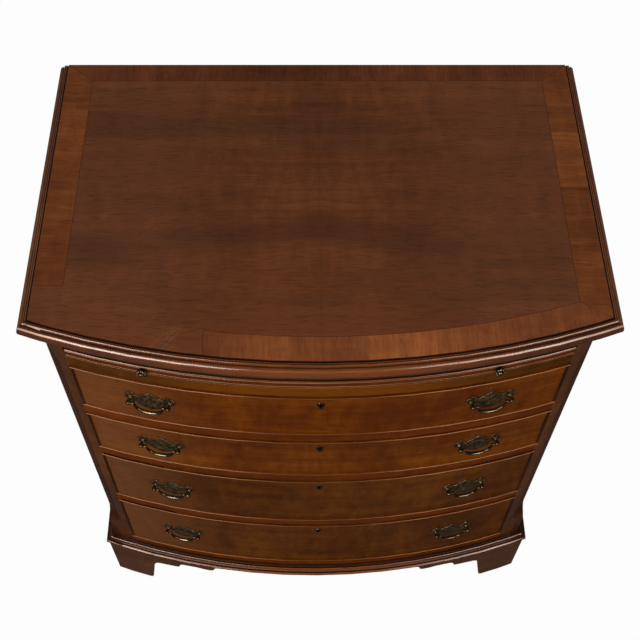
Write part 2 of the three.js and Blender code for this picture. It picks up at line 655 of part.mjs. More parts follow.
// Bead section turned outwards from the drawer's face, at its lower edge or its upper edge.
function beadSection(edge, sign) {
  return BEAD_SHARES.map(([out, along]) => [CARCASE_INSET - out * BEAD_PROJECTION, edge + sign * along * BEAD_WIDTH]);
}

function drawerFront(low, high, sideLow, sideHigh) {
  const section = [
    [drawerInset, low],
    ...beadSection(low, 1),
    ...beadSection(high, -1).reverse(),
    [drawerInset, high],
  ];
  const span = block(-drawerHalf, drawerHalf, -FIELD_DEPTH, FIELD_DEPTH, low - OVERRUN, high + OVERRUN);
  let front = bowRing(section).intersect(span);
  for (const side of [-1, 1]) {
    const plan = BEAD_SHARES.map(([out, along]) => {
      const x = side * (drawerHalf - along * BEAD_WIDTH);
      return [x, bowY(x, CARCASE_INSET) - out * BEAD_PROJECTION];
    });
    const root = side * (drawerHalf - BEAD_WIDTH);
    plan.push([root, bowY(root, CARCASE_INSET) + BEAD_WIDTH]);
    plan.push([side * drawerHalf, bowY(drawerHalf, CARCASE_INSET) + BEAD_WIDTH]);
    const strip = plank(plan, low, high);
    front = front.add(strip);
  }
  const sockets = tails(sideLow, sideHigh, TAIL_PLAY);
  return front.subtract(sockets).subtract(sockets.mirror([1, 0, 0]));
}

const faceY = bowY(0, CARCASE_INSET);

// A keyhole: a round head with a slot below it, run from one y to another.
function keyholeForm(y0, y1) {
  const bore = new THREE.CylinderGeometry(KEYHOLE_RADIUS, KEYHOLE_RADIUS, y1 - y0, ROUND_SEGMENTS);
  bore.translate(0, (y0 + y1) / 2, 0);
  const slot = block(-KEYHOLE_SLOT_WIDTH / 2, KEYHOLE_SLOT_WIDTH / 2, y0, y1, -KEYHOLE_SLOT_LENGTH, 0);
  return solid(bore).add(slot);
}

// The shield that lines a keyhole, or with a play the pocket for it.
function shieldForm(play, y0, y1) {
  const half = ESCUTCHEON_SHARES.map(([x, down]) => [
    x * (ESCUTCHEON_WIDTH / 2 + play),
    ESCUTCHEON_RISE + play - down * (ESCUTCHEON_HEIGHT + 2 * play),
  ]);
  return elevation([...half, ...half.slice(1, -1).map(([x, z]) => [-x, z]).reverse()], y0, y1);
}

// A keyhole through the front and the pocket that holds its escutcheon.
function keyholeCut(z) {
  return keyholeForm(-OVERRUN, OVERRUN)
    .add(shieldForm(ESCUTCHEON_PLAY, -ESCUTCHEON_DEPTH, ESCUTCHEON_DEPTH))
    .translate([0, faceY, z]);
}

function escutcheon() {
  return shieldForm(0, -ESCUTCHEON_CROWN, ESCUTCHEON_DEPTH).subtract(keyholeForm(-OVERRUN, OVERRUN));
}

// Handle: a shaped plate bent to the bow, with two ball-headed posts and a bail hung between them
const facingInset = CARCASE_INSET;
const pivotReach = POST_REACH + PLATE_THICK;

function plateForm(side) {
  const half = PLATE_SHARES.map(([x, down]) => [(x * PLATE_WIDTH) / 2, PLATE_RISE - down * PLATE_HEIGHT]);
  const outline = [...half, ...half.slice(1, -1).map(([x, z]) => [-x, z]).reverse()];
  const blank = new THREE.ExtrudeGeometry(shapeOf(outline), { depth: 2 * OVERRUN, bevelEnabled: false });
  blank.rotateX(Math.PI / 2);
  blank.translate(0, OVERRUN, 0);
  const sheet = bowRing([
    [facingInset - PLATE_THICK, -PLATE_HEIGHT],
    [facingInset, -PLATE_HEIGHT],
    [facingInset, PLATE_HEIGHT],
    [facingInset - PLATE_THICK, PLATE_HEIGHT],
  ]);
  let plate = sheet.intersect(solid(onBow(blank, side, facingInset, 0)));
  for (const end of [-1, 1]) {
    const foot = PLATE_THICK / 2;
    const post = turned([
      [0, foot],
      [POST_FLANGE_RADIUS, foot],
      ...POST_SHARES.map(([r, a]) => [r * POST_BALL_RADIUS, a * pivotReach]),
      ...BALL_SHARES.map(([r, a]) => [r * POST_BALL_RADIUS, pivotReach + a * POST_BALL_RADIUS]),
    ], SMALL_SEGMENTS);
    post.translate((end * POST_SPACING) / 2, 0, 0);
    plate = plate.add(solid(onBow(post, side, facingInset, 0)));
    const bore = new THREE.CylinderGeometry(
      BAIL_WIRE_RADIUS + BAIL_PIN_PLAY,
      BAIL_WIRE_RADIUS + BAIL_PIN_PLAY,
      2 * POST_BALL_RADIUS,
      BAIL_SIDES,
    );
    bore.rotateZ(Math.PI / 2);
    bore.translate(end * (POST_SPACING / 2 - POST_BALL_RADIUS + BAIL_PIN_PLAY), -pivotReach, 0);
    plate = plate.subtract(solid(onBow(bore, side, facingInset, 0)));
  }
  return plate;
}

// Pin and shoulder at one end of a bail, turned about the bail's own axis.
function bailEnd(hand) {
  const face = POST_SPACING / 2 - POST_BALL_RADIUS;
  const middle = face - BAIL_SHOULDER_PLAY - BAIL_SHOULDER_HALF;
  const end = turned([
    [0, face + BAIL_PIN_DEPTH],
    [BAIL_WIRE_RADIUS, face + BAIL_PIN_DEPTH],
    [BAIL_WIRE_RADIUS, middle + BAIL_SHOULDER_HALF],
    ...SHOULDER_SHARES.map(([r, a]) => [r * BAIL_SHOULDER_RADIUS, middle + a * BAIL_SHOULDER_HALF]),
  ], BAIL_SIDES);
  end.rotateZ((hand * Math.PI) / 2);
  return solid(end);
}

function bailForm() {
  const half = POST_SPACING / 2;
  const right = BAIL_SHARES.map(([x, z]) => new THREE.Vector3(x * half, 0, z * BAIL_DROP));
  const left = right.slice(0, -1).reverse().map((point) => new THREE.Vector3(-point.x, 0, point.z));
  const path = new THREE.CatmullRomCurve3([...right, ...left], false, 'centripetal');
  const round = [];
  for (let i = 0; i < BAIL_SIDES; i += 1) {
    const angle = (2 * Math.PI * (i + 1 / 2)) / BAIL_SIDES;
    round.push([BAIL_WIRE_RADIUS * Math.cos(angle), BAIL_WIRE_RADIUS * Math.sin(angle)]);
  }
  const geometry = new THREE.ExtrudeGeometry(shapeOf(round), { steps: BAIL_STEPS, extrudePath: path, bevelEnabled: false });
  const centres = path.getSpacedPoints(BAIL_STEPS);
  const position = geometry.getAttribute('position');
  const point = new THREE.Vector3();
  for (let i = 0; i < position.count; i += 1) {
    point.fromBufferAttribute(position, i);
    let nearest = centres[0];
    for (const centre of centres) {
      if (centre.distanceTo(point) < nearest.distanceTo(point)) nearest = centre;
    }
    const share = THREE.MathUtils.smoothstep(1 - Math.abs(nearest.x) / half, 1 / 3, 1);
    const swell = 1 + share * (BAIL_GRIP_RADIUS / BAIL_WIRE_RADIUS - 1);
    point.sub(nearest).multiplyScalar(swell).add(nearest);
    position.setXYZ(i, point.x, point.y, point.z);
  }
  return solid(geometry).add(bailEnd(-1)).add(bailEnd(1));
}

// Places a finished form, made on the fitting's own axes, on the bow at its pivots' distance.
function hangOnBow(body, side) {
  const geometry = asGeometry(body);
  geometry.translate(0, -pivotReach, 0);
  return solid(onBow(geometry, side, facingInset, 0));
}

DRAWER_FLOORS.forEach((floor, index) => {
  const number = index + 1;
  const low = floor + DRAWER_GAP;
  const high = DRAWER_CEILINGS[index] - DRAWER_GAP;
  const sideLow = floor + DRAWER_FLOOR_GAP;
  const sideHigh = high - DRAWER_TOP_DROP;
  const bottomLow = sideLow + DRAWER_BOTTOM_LIFT;
  const bottomHigh = bottomLow + DRAWER_BOTTOM_THICK;
  const keyhole = DRAWER_CEILINGS[index] - KEYHOLE_DROP;
  put(`drawer_${number}_front`, drawerFront(low, high, sideLow, sideHigh).subtract(keyholeCut(keyhole)), FINISHES.frontWood);
  const side = drawerSide(sideLow, sideHigh);
  put(`drawer_${number}_side_left`, side.mirror([1, 0, 0]), FINISHES.liningWood);
  put(`drawer_${number}_side_right`, side, FINISHES.liningWood);
  const back = block(
    -drawerSideInner,
    drawerSideInner,
    drawerRear - DRAWER_BACK_THICK,
    drawerRear,
    bottomHigh,
    sideHigh - DRAWER_BACK_DROP,
  );
  put(`drawer_${number}_back`, back, FINISHES.liningWood);
  const tongue = drawerSideInner + DRAWER_GROOVE;
  const bottomPlan = [
    ...bowLine(drawerInset + HAIRLINE, -drawerSideInner + HAIRLINE, drawerSideInner - HAIRLINE),
    [drawerSideInner - HAIRLINE, bowY(drawerSideInner, drawerInset) + DRAWER_GROOVE],
    [tongue, bowY(drawerSideInner, drawerInset) + DRAWER_GROOVE],
    [tongue, drawerRear],
    [-tongue, drawerRear],
    [-tongue, bowY(drawerSideInner, drawerInset) + DRAWER_GROOVE],
    [-drawerSideInner + HAIRLINE, bowY(drawerSideInner, drawerInset) + DRAWER_GROOVE],
  ];
  put(`drawer_${number}_bottom`, plank(bottomPlan, bottomLow, bottomHigh), FINISHES.liningWood);
  const ring = put(`escutcheon_${number}`, escutcheon(), FINISHES.brass);
  ring.position.set(0, faceY, keyhole);
  const pivot = (low + high) / 2 + HANDLE_LIFT;
  for (const [hand, word] of [[-1, 'left'], [1, 'right']]) {
    const plate = put(`handle_${number}_${word}_plate`, plateForm(hand), FINISHES.brass);
    plate.position.z = pivot;
    const bail = put(`handle_${number}_${word}_bail`, hangOnBow(bailForm(), hand), FINISHES.brass);
    bail.position.z = pivot;
  }
});

export default group;
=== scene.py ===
# %% [markdown]
# # A bow front chest of drawers
# The chest arrives from the CAD model as a set of loose parts in real size, in metres: +Z up, the
# front looking along -Y, the floor at z = 0. This lesson dresses it: it sets the camera where the
# photographer stood, builds the light, mixes woods and old brass out of nodes, and then goes over
# the chest piece by piece. Loading comes first, because the CAD places every later piece.

# %% Load the chest
import json
import math
from contextlib import contextmanager

import bpy
from mathutils import Matrix, Vector


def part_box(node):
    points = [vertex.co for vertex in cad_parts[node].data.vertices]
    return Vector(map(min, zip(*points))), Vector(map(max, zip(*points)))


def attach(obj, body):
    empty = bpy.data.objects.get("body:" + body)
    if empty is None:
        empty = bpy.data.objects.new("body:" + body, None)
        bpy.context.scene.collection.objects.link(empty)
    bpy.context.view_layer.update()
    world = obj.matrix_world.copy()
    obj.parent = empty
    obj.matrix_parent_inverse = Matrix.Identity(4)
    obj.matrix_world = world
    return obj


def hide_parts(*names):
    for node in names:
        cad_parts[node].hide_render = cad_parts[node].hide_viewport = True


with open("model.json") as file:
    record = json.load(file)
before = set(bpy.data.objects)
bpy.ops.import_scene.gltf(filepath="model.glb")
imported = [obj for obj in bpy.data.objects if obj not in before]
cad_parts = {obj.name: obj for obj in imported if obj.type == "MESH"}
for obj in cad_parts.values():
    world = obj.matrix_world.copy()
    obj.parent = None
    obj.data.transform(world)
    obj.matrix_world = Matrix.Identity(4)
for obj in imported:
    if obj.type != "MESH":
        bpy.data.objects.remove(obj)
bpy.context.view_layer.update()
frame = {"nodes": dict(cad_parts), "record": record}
nodes = frame["nodes"]

# %% [markdown]
# ## The sizes that the looks need
# The bow is an arc about one upright axis behind the front, so a distance to that axis says where
# the front edge is. The numbers are those of the chest itself, in metres, and edges and heights
# are read from the CAD's own parts.

# %% Sizes of the chest
FIELD_HALF = 0.4
BOW_RISE = 0.067
BOW_RADIUS = (FIELD_HALF ** 2 + BOW_RISE ** 2) / (2 * BOW_RISE)
FRONT_CORNER_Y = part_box("top_panel")[0][1] + BOW_RISE
BOW_AXIS_Y = FRONT_CORNER_Y + BOW_RADIUS - BOW_RISE
REAR_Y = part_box("top_panel")[1][1]
TOP_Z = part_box("top_panel")[1][2]
FACE_RADIUS = BOW_RADIUS - 0.001
print("bow radius", round(BOW_RADIUS, 4), "axis at y", round(BOW_AXIS_Y, 4))

# %% [markdown]
# ## The camera
# The photograph looks down on the chest from the front, from a little over two metres up. The
# place, the turn and the lens were worked out from the corners of the top, drawers and feet in
# the picture. A camera looks along its own -Z, so its matrix is built from the directions to its
# right, above it and behind it.

# %% Camera
YAW, PITCH, ROLL = (math.radians(degrees) for degrees in (1.615, 57.179, 1.136))
LENS_MM, SENSOR_MM = 59.33, 36
forward = Vector((
    math.sin(YAW) * math.cos(PITCH),
    math.cos(YAW) * math.cos(PITCH),
    -math.sin(PITCH),
))
level = Vector((math.cos(YAW), -math.sin(YAW), 0))
upright = level.cross(forward)
right = math.cos(ROLL) * level + math.sin(ROLL) * upright
above = -math.sin(ROLL) * level + math.cos(ROLL) * upright


def add_object(name, data):
    obj = bpy.data.objects.new(name, data)
    bpy.context.scene.collection.objects.link(obj)
    return obj


camera_data = bpy.data.cameras.new("photo_camera")
camera_data.sensor_width = SENSOR_MM
camera_data.lens = LENS_MM
camera = add_object("photo_camera", camera_data)
place = Vector((-0.02405, FRONT_CORNER_Y - 0.7802, 2.1502))
camera.matrix_world = Matrix((
    (right.x, above.x, -forward.x, place.x),
    (right.y, above.y, -forward.y, place.y),
    (right.z, above.z, -forward.z, place.z),
    (0, 0, 0, 1),
))
bpy.context.scene.camera = camera
print("camera at", [round(v, 3) for v in place])

# %% [markdown]
# ## Small helpers
# Blender's operators act on whatever is selected, so each step starts by selecting one thing only.
# `edit` opens a piece for editing and closes it again when the work is done. `lathe` draws half a
# section, given in millimetres as radius and distance along, and spins it about the piece's own
# axis: posts and stems stand out of the drawer along -Y, and the beads of a bail lie along X.

# %% Selecting, editing and turning
def deselect():
    bpy.ops.object.select_all(action="DESELECT")


def only(*objects):
    deselect()
    for obj in objects:
        obj.select_set(True)
    bpy.context.view_layer.objects.active = objects[0]


@contextmanager
def edit(obj, select="SELECT"):
    only(obj)
    bpy.ops.object.mode_set(mode="EDIT")
    if select:
        bpy.ops.mesh.select_all(action=select)
    yield obj
    bpy.ops.object.mode_set(mode="OBJECT")


def pick(obj, test):
    """Selects only the faces that pass the test, ready for edit(obj, None)."""
    with edit(obj, "DESELECT"):
        bpy.ops.mesh.select_mode(type="FACE")
    for face in obj.data.polygons:
        face.select = test(face)


def apply_modifier(obj, kind, **settings):
    only(obj)
    bpy.ops.object.modifier_add(type=kind)
    modifier = obj.modifiers[-1]
    for key, value in settings.items():
        setattr(modifier, key, value)
    bpy.ops.object.modifier_apply(modifier=modifier.name)


def join(first, *others):
    only(first, *others)
    bpy.ops.object.join()
    return first


def settle(obj):
    only(obj)
    bpy.ops.object.transform_apply(location=True, rotation=True, scale=True)


def shade_smooth(obj, degrees):
    only(obj)
    bpy.ops.object.shade_smooth_by_angle(angle=math.radians(degrees))


def own_copy(obj):
    copy = obj.copy()
    copy.data = obj.data.copy()
    bpy.context.scene.collection.objects.link(copy)
    return copy


MM = 0.001


def lathe(name, section, steps=24, axis="Y"):
    mesh = bpy.data.meshes.new(name)
    if axis == "Y":
        points = [(r * MM, -out * MM, 0) for r, out in section]
    else:
        points = [(out * MM, 0, r * MM) for r, out in section]
    mesh.from_pydata(points, [(i, i + 1) for i in range(len(points) - 1)], [])
    obj = add_object(name, mesh)
    with edit(obj):
        turn = (0, 1, 0) if axis == "Y" else (1, 0, 0)
        bpy.ops.mesh.spin(steps=steps, angle=2 * math.pi, center=(0, 0, 0), axis=turn)
        bpy.ops.mesh.select_all(action="SELECT")
        bpy.ops.mesh.remove_doubles(threshold=0.00002)
        bpy.ops.mesh.normals_make_consistent(inside=False)
    return obj


# %% [markdown]
# Looks are made of nodes, in materials and in the world alike. `Tree` adds one node in one call,
# and joins it to whatever is given as its input, so that a material reads as a few lines of sums.

# %% A short way to write nodes
class Tree:
    """Adds nodes to a material or a world and joins them in short calls."""

    def __init__(self, owner):
        owner.use_nodes = True
        self.owner = owner
        self.tree = owner.node_tree
        self.tree.nodes.clear()

    def add(self, kind, inputs=None, **settings):
        node = self.tree.nodes.new("ShaderNode" + kind)
        for key, value in settings.items():
            setattr(node, key, value)
        for key, value in (inputs or {}).items():
            if isinstance(value, bpy.types.NodeSocket):
                self.tree.links.new(value, node.inputs[key])
            else:
                node.inputs[key].default_value = value
        return node

    def math(self, operation, a, b=0.0):
        return self.add("Math", {0: a, 1: b}, operation=operation).outputs[0]

    def times(self, a, b):
        return self.math("MULTIPLY", a, b)

    def plus(self, a, b):
        return self.math("ADD", a, b)

    def vector(self, operation, a, b):
        key = "Scale" if operation == "SCALE" else 1
        return self.add("VectorMath", {0: a, key: b}, operation=operation).outputs[0]

    def axes(self, place):
        return self.add("SeparateXYZ", {0: place}).outputs

    def distance(self, vector):
        return self.add("VectorMath", {0: vector}, operation="LENGTH").outputs["Value"]

    def off_centre(self, place):
        return self.math("ABSOLUTE", self.axes(place)[0])

    def span(self, value, low, high, to_low=0.0, to_high=1.0):
        inputs = {"Value": value, "From Min": low, "From Max": high,
                  "To Min": to_low, "To Max": to_high}
        return self.add("MapRange", inputs, interpolation_type="SMOOTHSTEP").outputs[0]

    def ramp(self, value, stops):
        node = self.add("ValToRGB", {0: value})
        elements = node.color_ramp.elements
        elements.remove(elements[-1])
        for index, (position, colour) in enumerate(stops):
            element = elements[0] if index == 0 else elements.new(position)
            element.position = position
            element.color = (*colour, 1)
        return node.outputs[0]

    def mix(self, share, a, b):
        a, b = ((*colour, 1) if isinstance(colour, tuple) else colour for colour in (a, b))
        return self.add("Mix", {0: share, 6: a, 7: b}, data_type="RGBA").outputs[2]

    def noise(self, vector, scale, detail=4.0, rough=0.55, distortion=0.0):
        inputs = {"Vector": vector, "Scale": scale, "Detail": detail,
                  "Roughness": rough, "Distortion": distortion}
        return self.add("TexNoise", inputs).outputs[0]


print("helpers ready")

# %% [markdown]
# ## Floor and light
# A studio photograph of furniture is lit from large soft lamps, so that polish shows as broad
# sheens. To the camera the floor is an even white glow, with a trace of pale paper that keeps a
# faint shadow. Mirrors see a dim glow, and all other rays only the paper. So with the sky: white
# to the camera, dim in mirrors and middling where it lights the chest.

# %% Floor and backdrop
CAMERA_WHITE = 0.97
MIRROR_GREY = 0.08
WORLD_FILL = 0.56
WORLD_MIRROR = 0.12


def seen_share(t, to_camera, to_mirrors):
    """A number that is one thing to the camera, another to mirrors and 0 to all other rays."""
    rays = t.add("LightPath").outputs
    total = 0.0
    for kind in ("Camera", "Glossy", "Transmission"):
        share = to_camera if kind == "Camera" else to_mirrors
        inputs = {0: rays[f"Is {kind} Ray"], 1: share, 2: total}
        total = t.add("Math", inputs, operation="MULTIPLY_ADD").outputs[0]
    return total


deselect()
bpy.ops.mesh.primitive_plane_add(size=14, location=(0, 0, -0.0005))
floor = bpy.context.object
floor.name = "studio_floor"
white = Tree(bpy.data.materials.new("studio_white"))
paper = white.add("BsdfDiffuse", {"Color": (0.55, 0.54, 0.53, 1)})
glow = white.add("Emission", {"Strength": seen_share(white, 1, MIRROR_GREY)})
floor_mix = white.add("MixShader", {0: seen_share(white, CAMERA_WHITE, 1),
                                    1: paper.outputs[0], 2: glow.outputs[0]})
white.add("OutputMaterial", {"Surface": floor_mix.outputs[0]})
floor.data.materials.append(white.owner)

sky = Tree(bpy.data.worlds.new("studio_world"))
bpy.context.scene.world = sky.owner
sky_level = sky.plus(seen_share(sky, 1 - WORLD_FILL, WORLD_MIRROR - WORLD_FILL), WORLD_FILL)
sky_light = sky.add("Background", {"Color": (1, 1, 1, 1), "Strength": sky_level})
sky.add("OutputWorld", {"Surface": sky_light.outputs[0]})
print("floor and world set")

# %% [markdown]
# Two softboxes stand low in front, to the left and right of the camera. The left one is the larger
# and the stronger, because the photograph's light falls more from that side. Neither is where the
# level top would mirror it to the camera, so the top stays deep, while the rounded nose of the
# top, the beads and the balls of the handles each catch a thin bright line of them.

# %% Lamps
LAMP_TARGET = Vector((0, -0.2, 0.6))


def softbox(name, bearing, height, distance, wide, tall, watts):
    data = bpy.data.lights.new(name, "AREA")
    data.shape = "RECTANGLE"
    data.size, data.size_y = wide, tall
    data.energy = watts
    obj = add_object(name, data)
    side, up = math.radians(bearing), math.radians(height)
    way = Vector((math.cos(up) * math.sin(side), -math.cos(up) * math.cos(side), math.sin(up)))
    obj.location = LAMP_TARGET + way * distance
    obj.rotation_euler = (-way).to_track_quat("-Z", "Y").to_euler()


softbox("left_softbox", -30, height=20, distance=2.8, wide=1.5, tall=0.9, watts=41)
softbox("right_softbox", 30, height=20, distance=2.8, wide=1.2, tall=0.75, watts=18)
scene = bpy.context.scene
scene.view_settings.view_transform = "Standard"

# %% [markdown]
# ## Polished mahogany
# Mahogany has a long straight grain, slow light and dark clouds, faint ribbon stripes across them,
# a fine mottle and short dark pores. All of these are noises: streaks, fibres and pores stretched
# along the grain, ribbons and mottle across it. One function makes every board: it is told the
# direction of the grain and three colours, and shares the rest. The polish is a clear coat over
# wood whose roughness wanders a little.

# %% A wood out of nodes
def scales(grain, along, across):
    return tuple(along if axis == grain else across for axis in "XYZ")


class Pattern:
    """The noises of one board: clouds, streaks, ribbons, mottle, fibres and pores."""

    def __init__(self, t, place, grain, figure):
        self.cloud = t.noise(place, 3.2, 3.0, 0.5)
        wander = t.add("TexNoise", {"Vector": place, "Scale": 5.0, "Detail": 2.0}).outputs["Color"]
        bend = t.vector("SCALE", t.vector("SUBTRACT", wander, (0.5, 0.5, 0.5)), 0.03)
        bent = t.vector("ADD", place, bend)
        along = t.vector("MULTIPLY", bent, scales(grain, 0.055, 1))
        across = t.vector("MULTIPLY", bent, scales(grain, 1, 0.35))
        self.streak = t.noise(along, 46.0, 6.0, 0.64)
        self.fibre = t.noise(along, 230.0, 3.0, 0.6)
        self.pores = t.ramp(t.noise(along, 640.0, 1.0, 0.5), [(0.36, (1, 1, 1)), (0.44, (0, 0, 0))])
        ribbon = t.noise(across, 10.0, 2.0, 0.5)
        mottle = t.noise(across, 48.0, 3.0, 0.6, 0.4)
        total = t.times(self.cloud, 0.42 * figure)
        for part, share in (
            (self.streak, 0.36),
            (t.math("SUBTRACT", mottle, 0.5), 0.26 * figure),
            (ribbon, 0.16 * figure),
            (self.fibre, 0.16),
        ):
            total = t.plus(total, t.times(part, share))
        # A strong figure lifts the mean, so it is brought back to where the colours expect it.
        self.level = t.math("SUBTRACT", total, 0.05 + 0.29 * (figure - 1))


FULL_COAT_ROUGH, THIN_COAT_ROUGH = 0.13, 0.22


def polish(t, colour, pattern, shine, coat, specular, relief):
    rough = t.plus(t.times(pattern.cloud, 0.16), shine - 0.06)
    rough = t.plus(rough, t.times(pattern.streak, 0.08))
    height = t.math("SUBTRACT", pattern.fibre, t.times(pattern.pores, 0.6))
    bump = t.add("Bump", {"Strength": relief, "Distance": 0.0004, "Height": height})
    shader = t.add("BsdfPrincipled", {
        "Base Color": colour, "Roughness": rough, "Normal": bump.outputs[0],
        "Specular IOR Level": specular, "Coat Weight": coat,
        "Coat Roughness": FULL_COAT_ROUGH if coat > 0.5 else THIN_COAT_ROUGH,
    })
    t.add("OutputMaterial", {"Surface": shader.outputs[0]})
    return t.owner


def around_bow(t, place):
    """Unrolls the bow, so that the grain of a bowed piece follows its curve."""
    x, y, z = t.axes(place)
    behind = t.math("SUBTRACT", BOW_AXIS_Y, y)
    run = t.times(t.math("ARCTAN2", x, behind), BOW_RADIUS)
    reach = t.distance(t.add("CombineXYZ", {0: x, 1: behind}).outputs[0])
    return t.add("CombineXYZ", {0: run, 1: reach, 2: z}).outputs[0]


SEAM_HALF, SEAM_FADE, SEAM_SHARE = 0.0004, 0.0011, 0.15
PORE_SHARE = 0.32


def wood(name, grain, dark, middle, light, bowed=False, joint=None, toned=False, marks_and_light=None,
         figure=1.0, shine=0.34, coat=0.15, shift=0.0, specular=0.12, relief=0.12):
    """`joint` mirrors the board about that x, `toned` reads a number kept on its faces, the
    function given for repainting recolours it by place, with stains and wear, and in some woods
    with painted highlights and reflections, and `shift` cuts it from another part of the tree."""
    t = Tree(bpy.data.materials.new(name))
    place = t.add("TexCoord").outputs["Object"]
    own = around_bow(t, place) if bowed else place
    seam = None
    if joint is not None:
        x, y, z = t.axes(own)
        across = t.math("ABSOLUTE", t.math("SUBTRACT", x, joint))
        seam = t.span(across, SEAM_HALF, SEAM_FADE, SEAM_SHARE, 0.0)
        own = t.add("CombineXYZ", {0: across, 1: y, 2: z}).outputs[0]
    moved = t.vector("ADD", own, (shift, shift * 1.7, shift * 2.3))
    if toned:
        tone = t.add("Attribute", attribute_name="tone").outputs["Fac"]
        moved = t.vector("ADD", moved, t.vector("SCALE", (7.1, 3.3, 0.0), tone))
    pattern = Pattern(t, moved, grain, figure)
    colour = t.ramp(pattern.level, [(0.38, dark), (0.53, middle), (0.68, light)])
    if marks_and_light:
        colour = marks_and_light(t, place, colour, pattern)
    if toned:
        colour = t.vector("SCALE", colour, t.plus(0.84, t.times(tone, 0.3)))
    pores = t.times(pattern.pores, PORE_SHARE)
    colour = t.mix(pores, colour, tuple(v * 0.45 for v in dark))
    if seam:
        colour = t.mix(seam, colour, tuple(v * 0.4 for v in dark))
    return polish(t, colour, pattern, shine, coat, specular, relief)


def tinted(start, full, share, tint, both_ends=True):
    """A repainting function for wood() that fades a tint in along x, from `start` to `full`, until
    it has its share.
    """
    def marks_and_light(t, place, colour, pattern):
        x = t.off_centre(place) if both_ends else t.axes(place)[0]
        return t.mix(t.span(x, start, full, 0.0, share), colour, tint)
    return marks_and_light


print("wood maker ready")

# %% [markdown]
# Each part of the chest has its own cut of mahogany. The mouldings are dark and hard polished, and
# redder in the middle of the front. The nose of the top is rubbed pale towards its corners, where
# hands take hold, and that paler colour also paints the lamps' highlight on it there. The brackets
# are cut from plainer wood.

# %% Woods of the mouldings and brackets
redder_middle = tinted(0.34, 0.06, 0.75, (0.165, 0.04, 0.0055))
# Painted highlight as well as wear: the nose is painted paler towards both ends of the front.
worn_and_highlit_ends = tinted(0.09, 0.36, 0.9, (0.62, 0.39, 0.28))
BRACKET_COLOURS = (0.044, 0.0145, 0.0045), (0.072, 0.0235, 0.0065), (0.108, 0.036, 0.01)

edge_wood_x = wood(
    "moulding_grain_x", "X", (0.036, 0.0105, 0.005), (0.066, 0.0185, 0.0075), (0.112, 0.032, 0.01),
    bowed=True, marks_and_light=redder_middle, coat=0.25, shift=3.4, relief=0.02)
edge_wood_y = wood(
    "moulding_grain_y", "Y", (0.036, 0.0095, 0.005), (0.06, 0.0165, 0.0075), (0.1, 0.028, 0.01),
    coat=0.25, shift=4.2, relief=0.02)
top_end_wood = wood(
    "top_moulding_grain_y", "Y", (0.105, 0.036, 0.015), (0.165, 0.058, 0.024), (0.24, 0.088, 0.036),
    coat=0.2, shift=4.2, relief=0.02)
# The nose: rubbed pale, and painted with a highlight towards the corners.
nose_worn_and_highlit = wood(
    "nose_rubbed_and_highlit_at_ends", "X", (0.12, 0.03, 0.005), (0.185, 0.052, 0.009), (0.27, 0.085, 0.016),
    bowed=True, marks_and_light=worn_and_highlit_ends, shine=0.26, coat=0.9, shift=3.4, relief=0.02)
bracket_x = wood("bracket_grain_x", "X", *BRACKET_COLOURS, bowed=True, shift=2.4)
bracket_y = wood("bracket_grain_y", "Y", *BRACKET_COLOURS, shift=1.4)
print("materials so far", len(bpy.data.materials))

# %% [markdown]
# The rails, the slide and the drawer fronts have dried out: their polish is thin and throws back
# little light. The rail under the slide is golden in the middle. The left ends of the fronts, which
# are the most figured pieces, are painted paler as a painted reflection. The two lower fronts are
# darker, partly in their own wood and partly as painted shade.

# %% Woods of the rails, slide and fronts
golden_middle = tinted(0.3, 0.08, 0.85, (0.128, 0.0325, 0.0008))
# Painted reflection: the left ends of the fronts are painted paler.
painted_left_reflection = tinted(-0.14, -0.36, 0.55, (0.15, 0.053, 0.017), both_ends=False)
RAIL = {"bowed": True, "coat": 0.05, "specular": 0.05}
FRONT = {"bowed": True, "marks_and_light": painted_left_reflection, "figure": 1.45, "coat": 0.05, "specular": 0.04}

rail_wood = wood(
    "rail_mahogany", "X", (0.068, 0.013, 0.0005), (0.104, 0.0205, 0.0007), (0.15, 0.034, 0.0011),
    shift=5.1, **RAIL)
golden_rail = wood(
    "golden_rail", "X", (0.044, 0.012, 0.0006), (0.07, 0.0195, 0.001), (0.105, 0.031, 0.0016),
    marks_and_light=golden_middle, shift=5.6, **RAIL)
# Wax in hollows, and painted shade in quirks, under the mouldings and beside the drawers.
deep_wood = wood(
    "hollow_wax_and_painted_shade", "X", (0.018, 0.0055, 0.0025), (0.032, 0.0095, 0.004), (0.052, 0.016, 0.006),
    shift=3.9, relief=0.02, **RAIL)
slide_wood = wood(
    "slide_mahogany", "X", (0.048, 0.0092, 0.0005), (0.074, 0.0148, 0.0008), (0.11, 0.025, 0.0014),
    shift=4.7, **RAIL)
front_wood = wood(
    "drawer_front_mahogany", "X", (0.068, 0.013, 0.0005), (0.11, 0.025, 0.0006),
    (0.165, 0.043, 0.0008), shift=6.2, **FRONT)
jointed_wood = wood(
    "jointed_front_mahogany", "X", (0.06, 0.0125, 0.0006), (0.098, 0.0225, 0.0008),
    (0.15, 0.04, 0.0012), joint=-0.015, shift=5.9, **FRONT)
# Darker in its own wood, and partly painted shade on the two lower fronts.
lower_wood = wood(
    "lower_front_mahogany", "X", (0.044, 0.0105, 0.0008), (0.072, 0.0185, 0.0011),
    (0.108, 0.031, 0.0018), shift=7.7, **FRONT)
print("materials so far", len(bpy.data.materials))

# %% [markdown]
# The sides and posts are plain straight mahogany. The linings are oak and the back is pine, both
# dry and bare. Eased edges and the crowns of the beads take pale wood, partly rubbed and partly a
# painted highlight, and hollows and shaded places take a dark wood, partly wax and partly painted
# shade.

# %% Woods of the sides and linings, and of worn, highlit and shaded places
# Painted highlight: paler towards both ends of the front.
highlit_ends = tinted(0.04, 0.2, 0.75, (0.42, 0.175, 0.07))
BARE_OAK = {"shine": 0.7, "coat": 0.0}
OAK_COLOURS = (0.2, 0.115, 0.052), (0.3, 0.185, 0.09), (0.4, 0.27, 0.145)

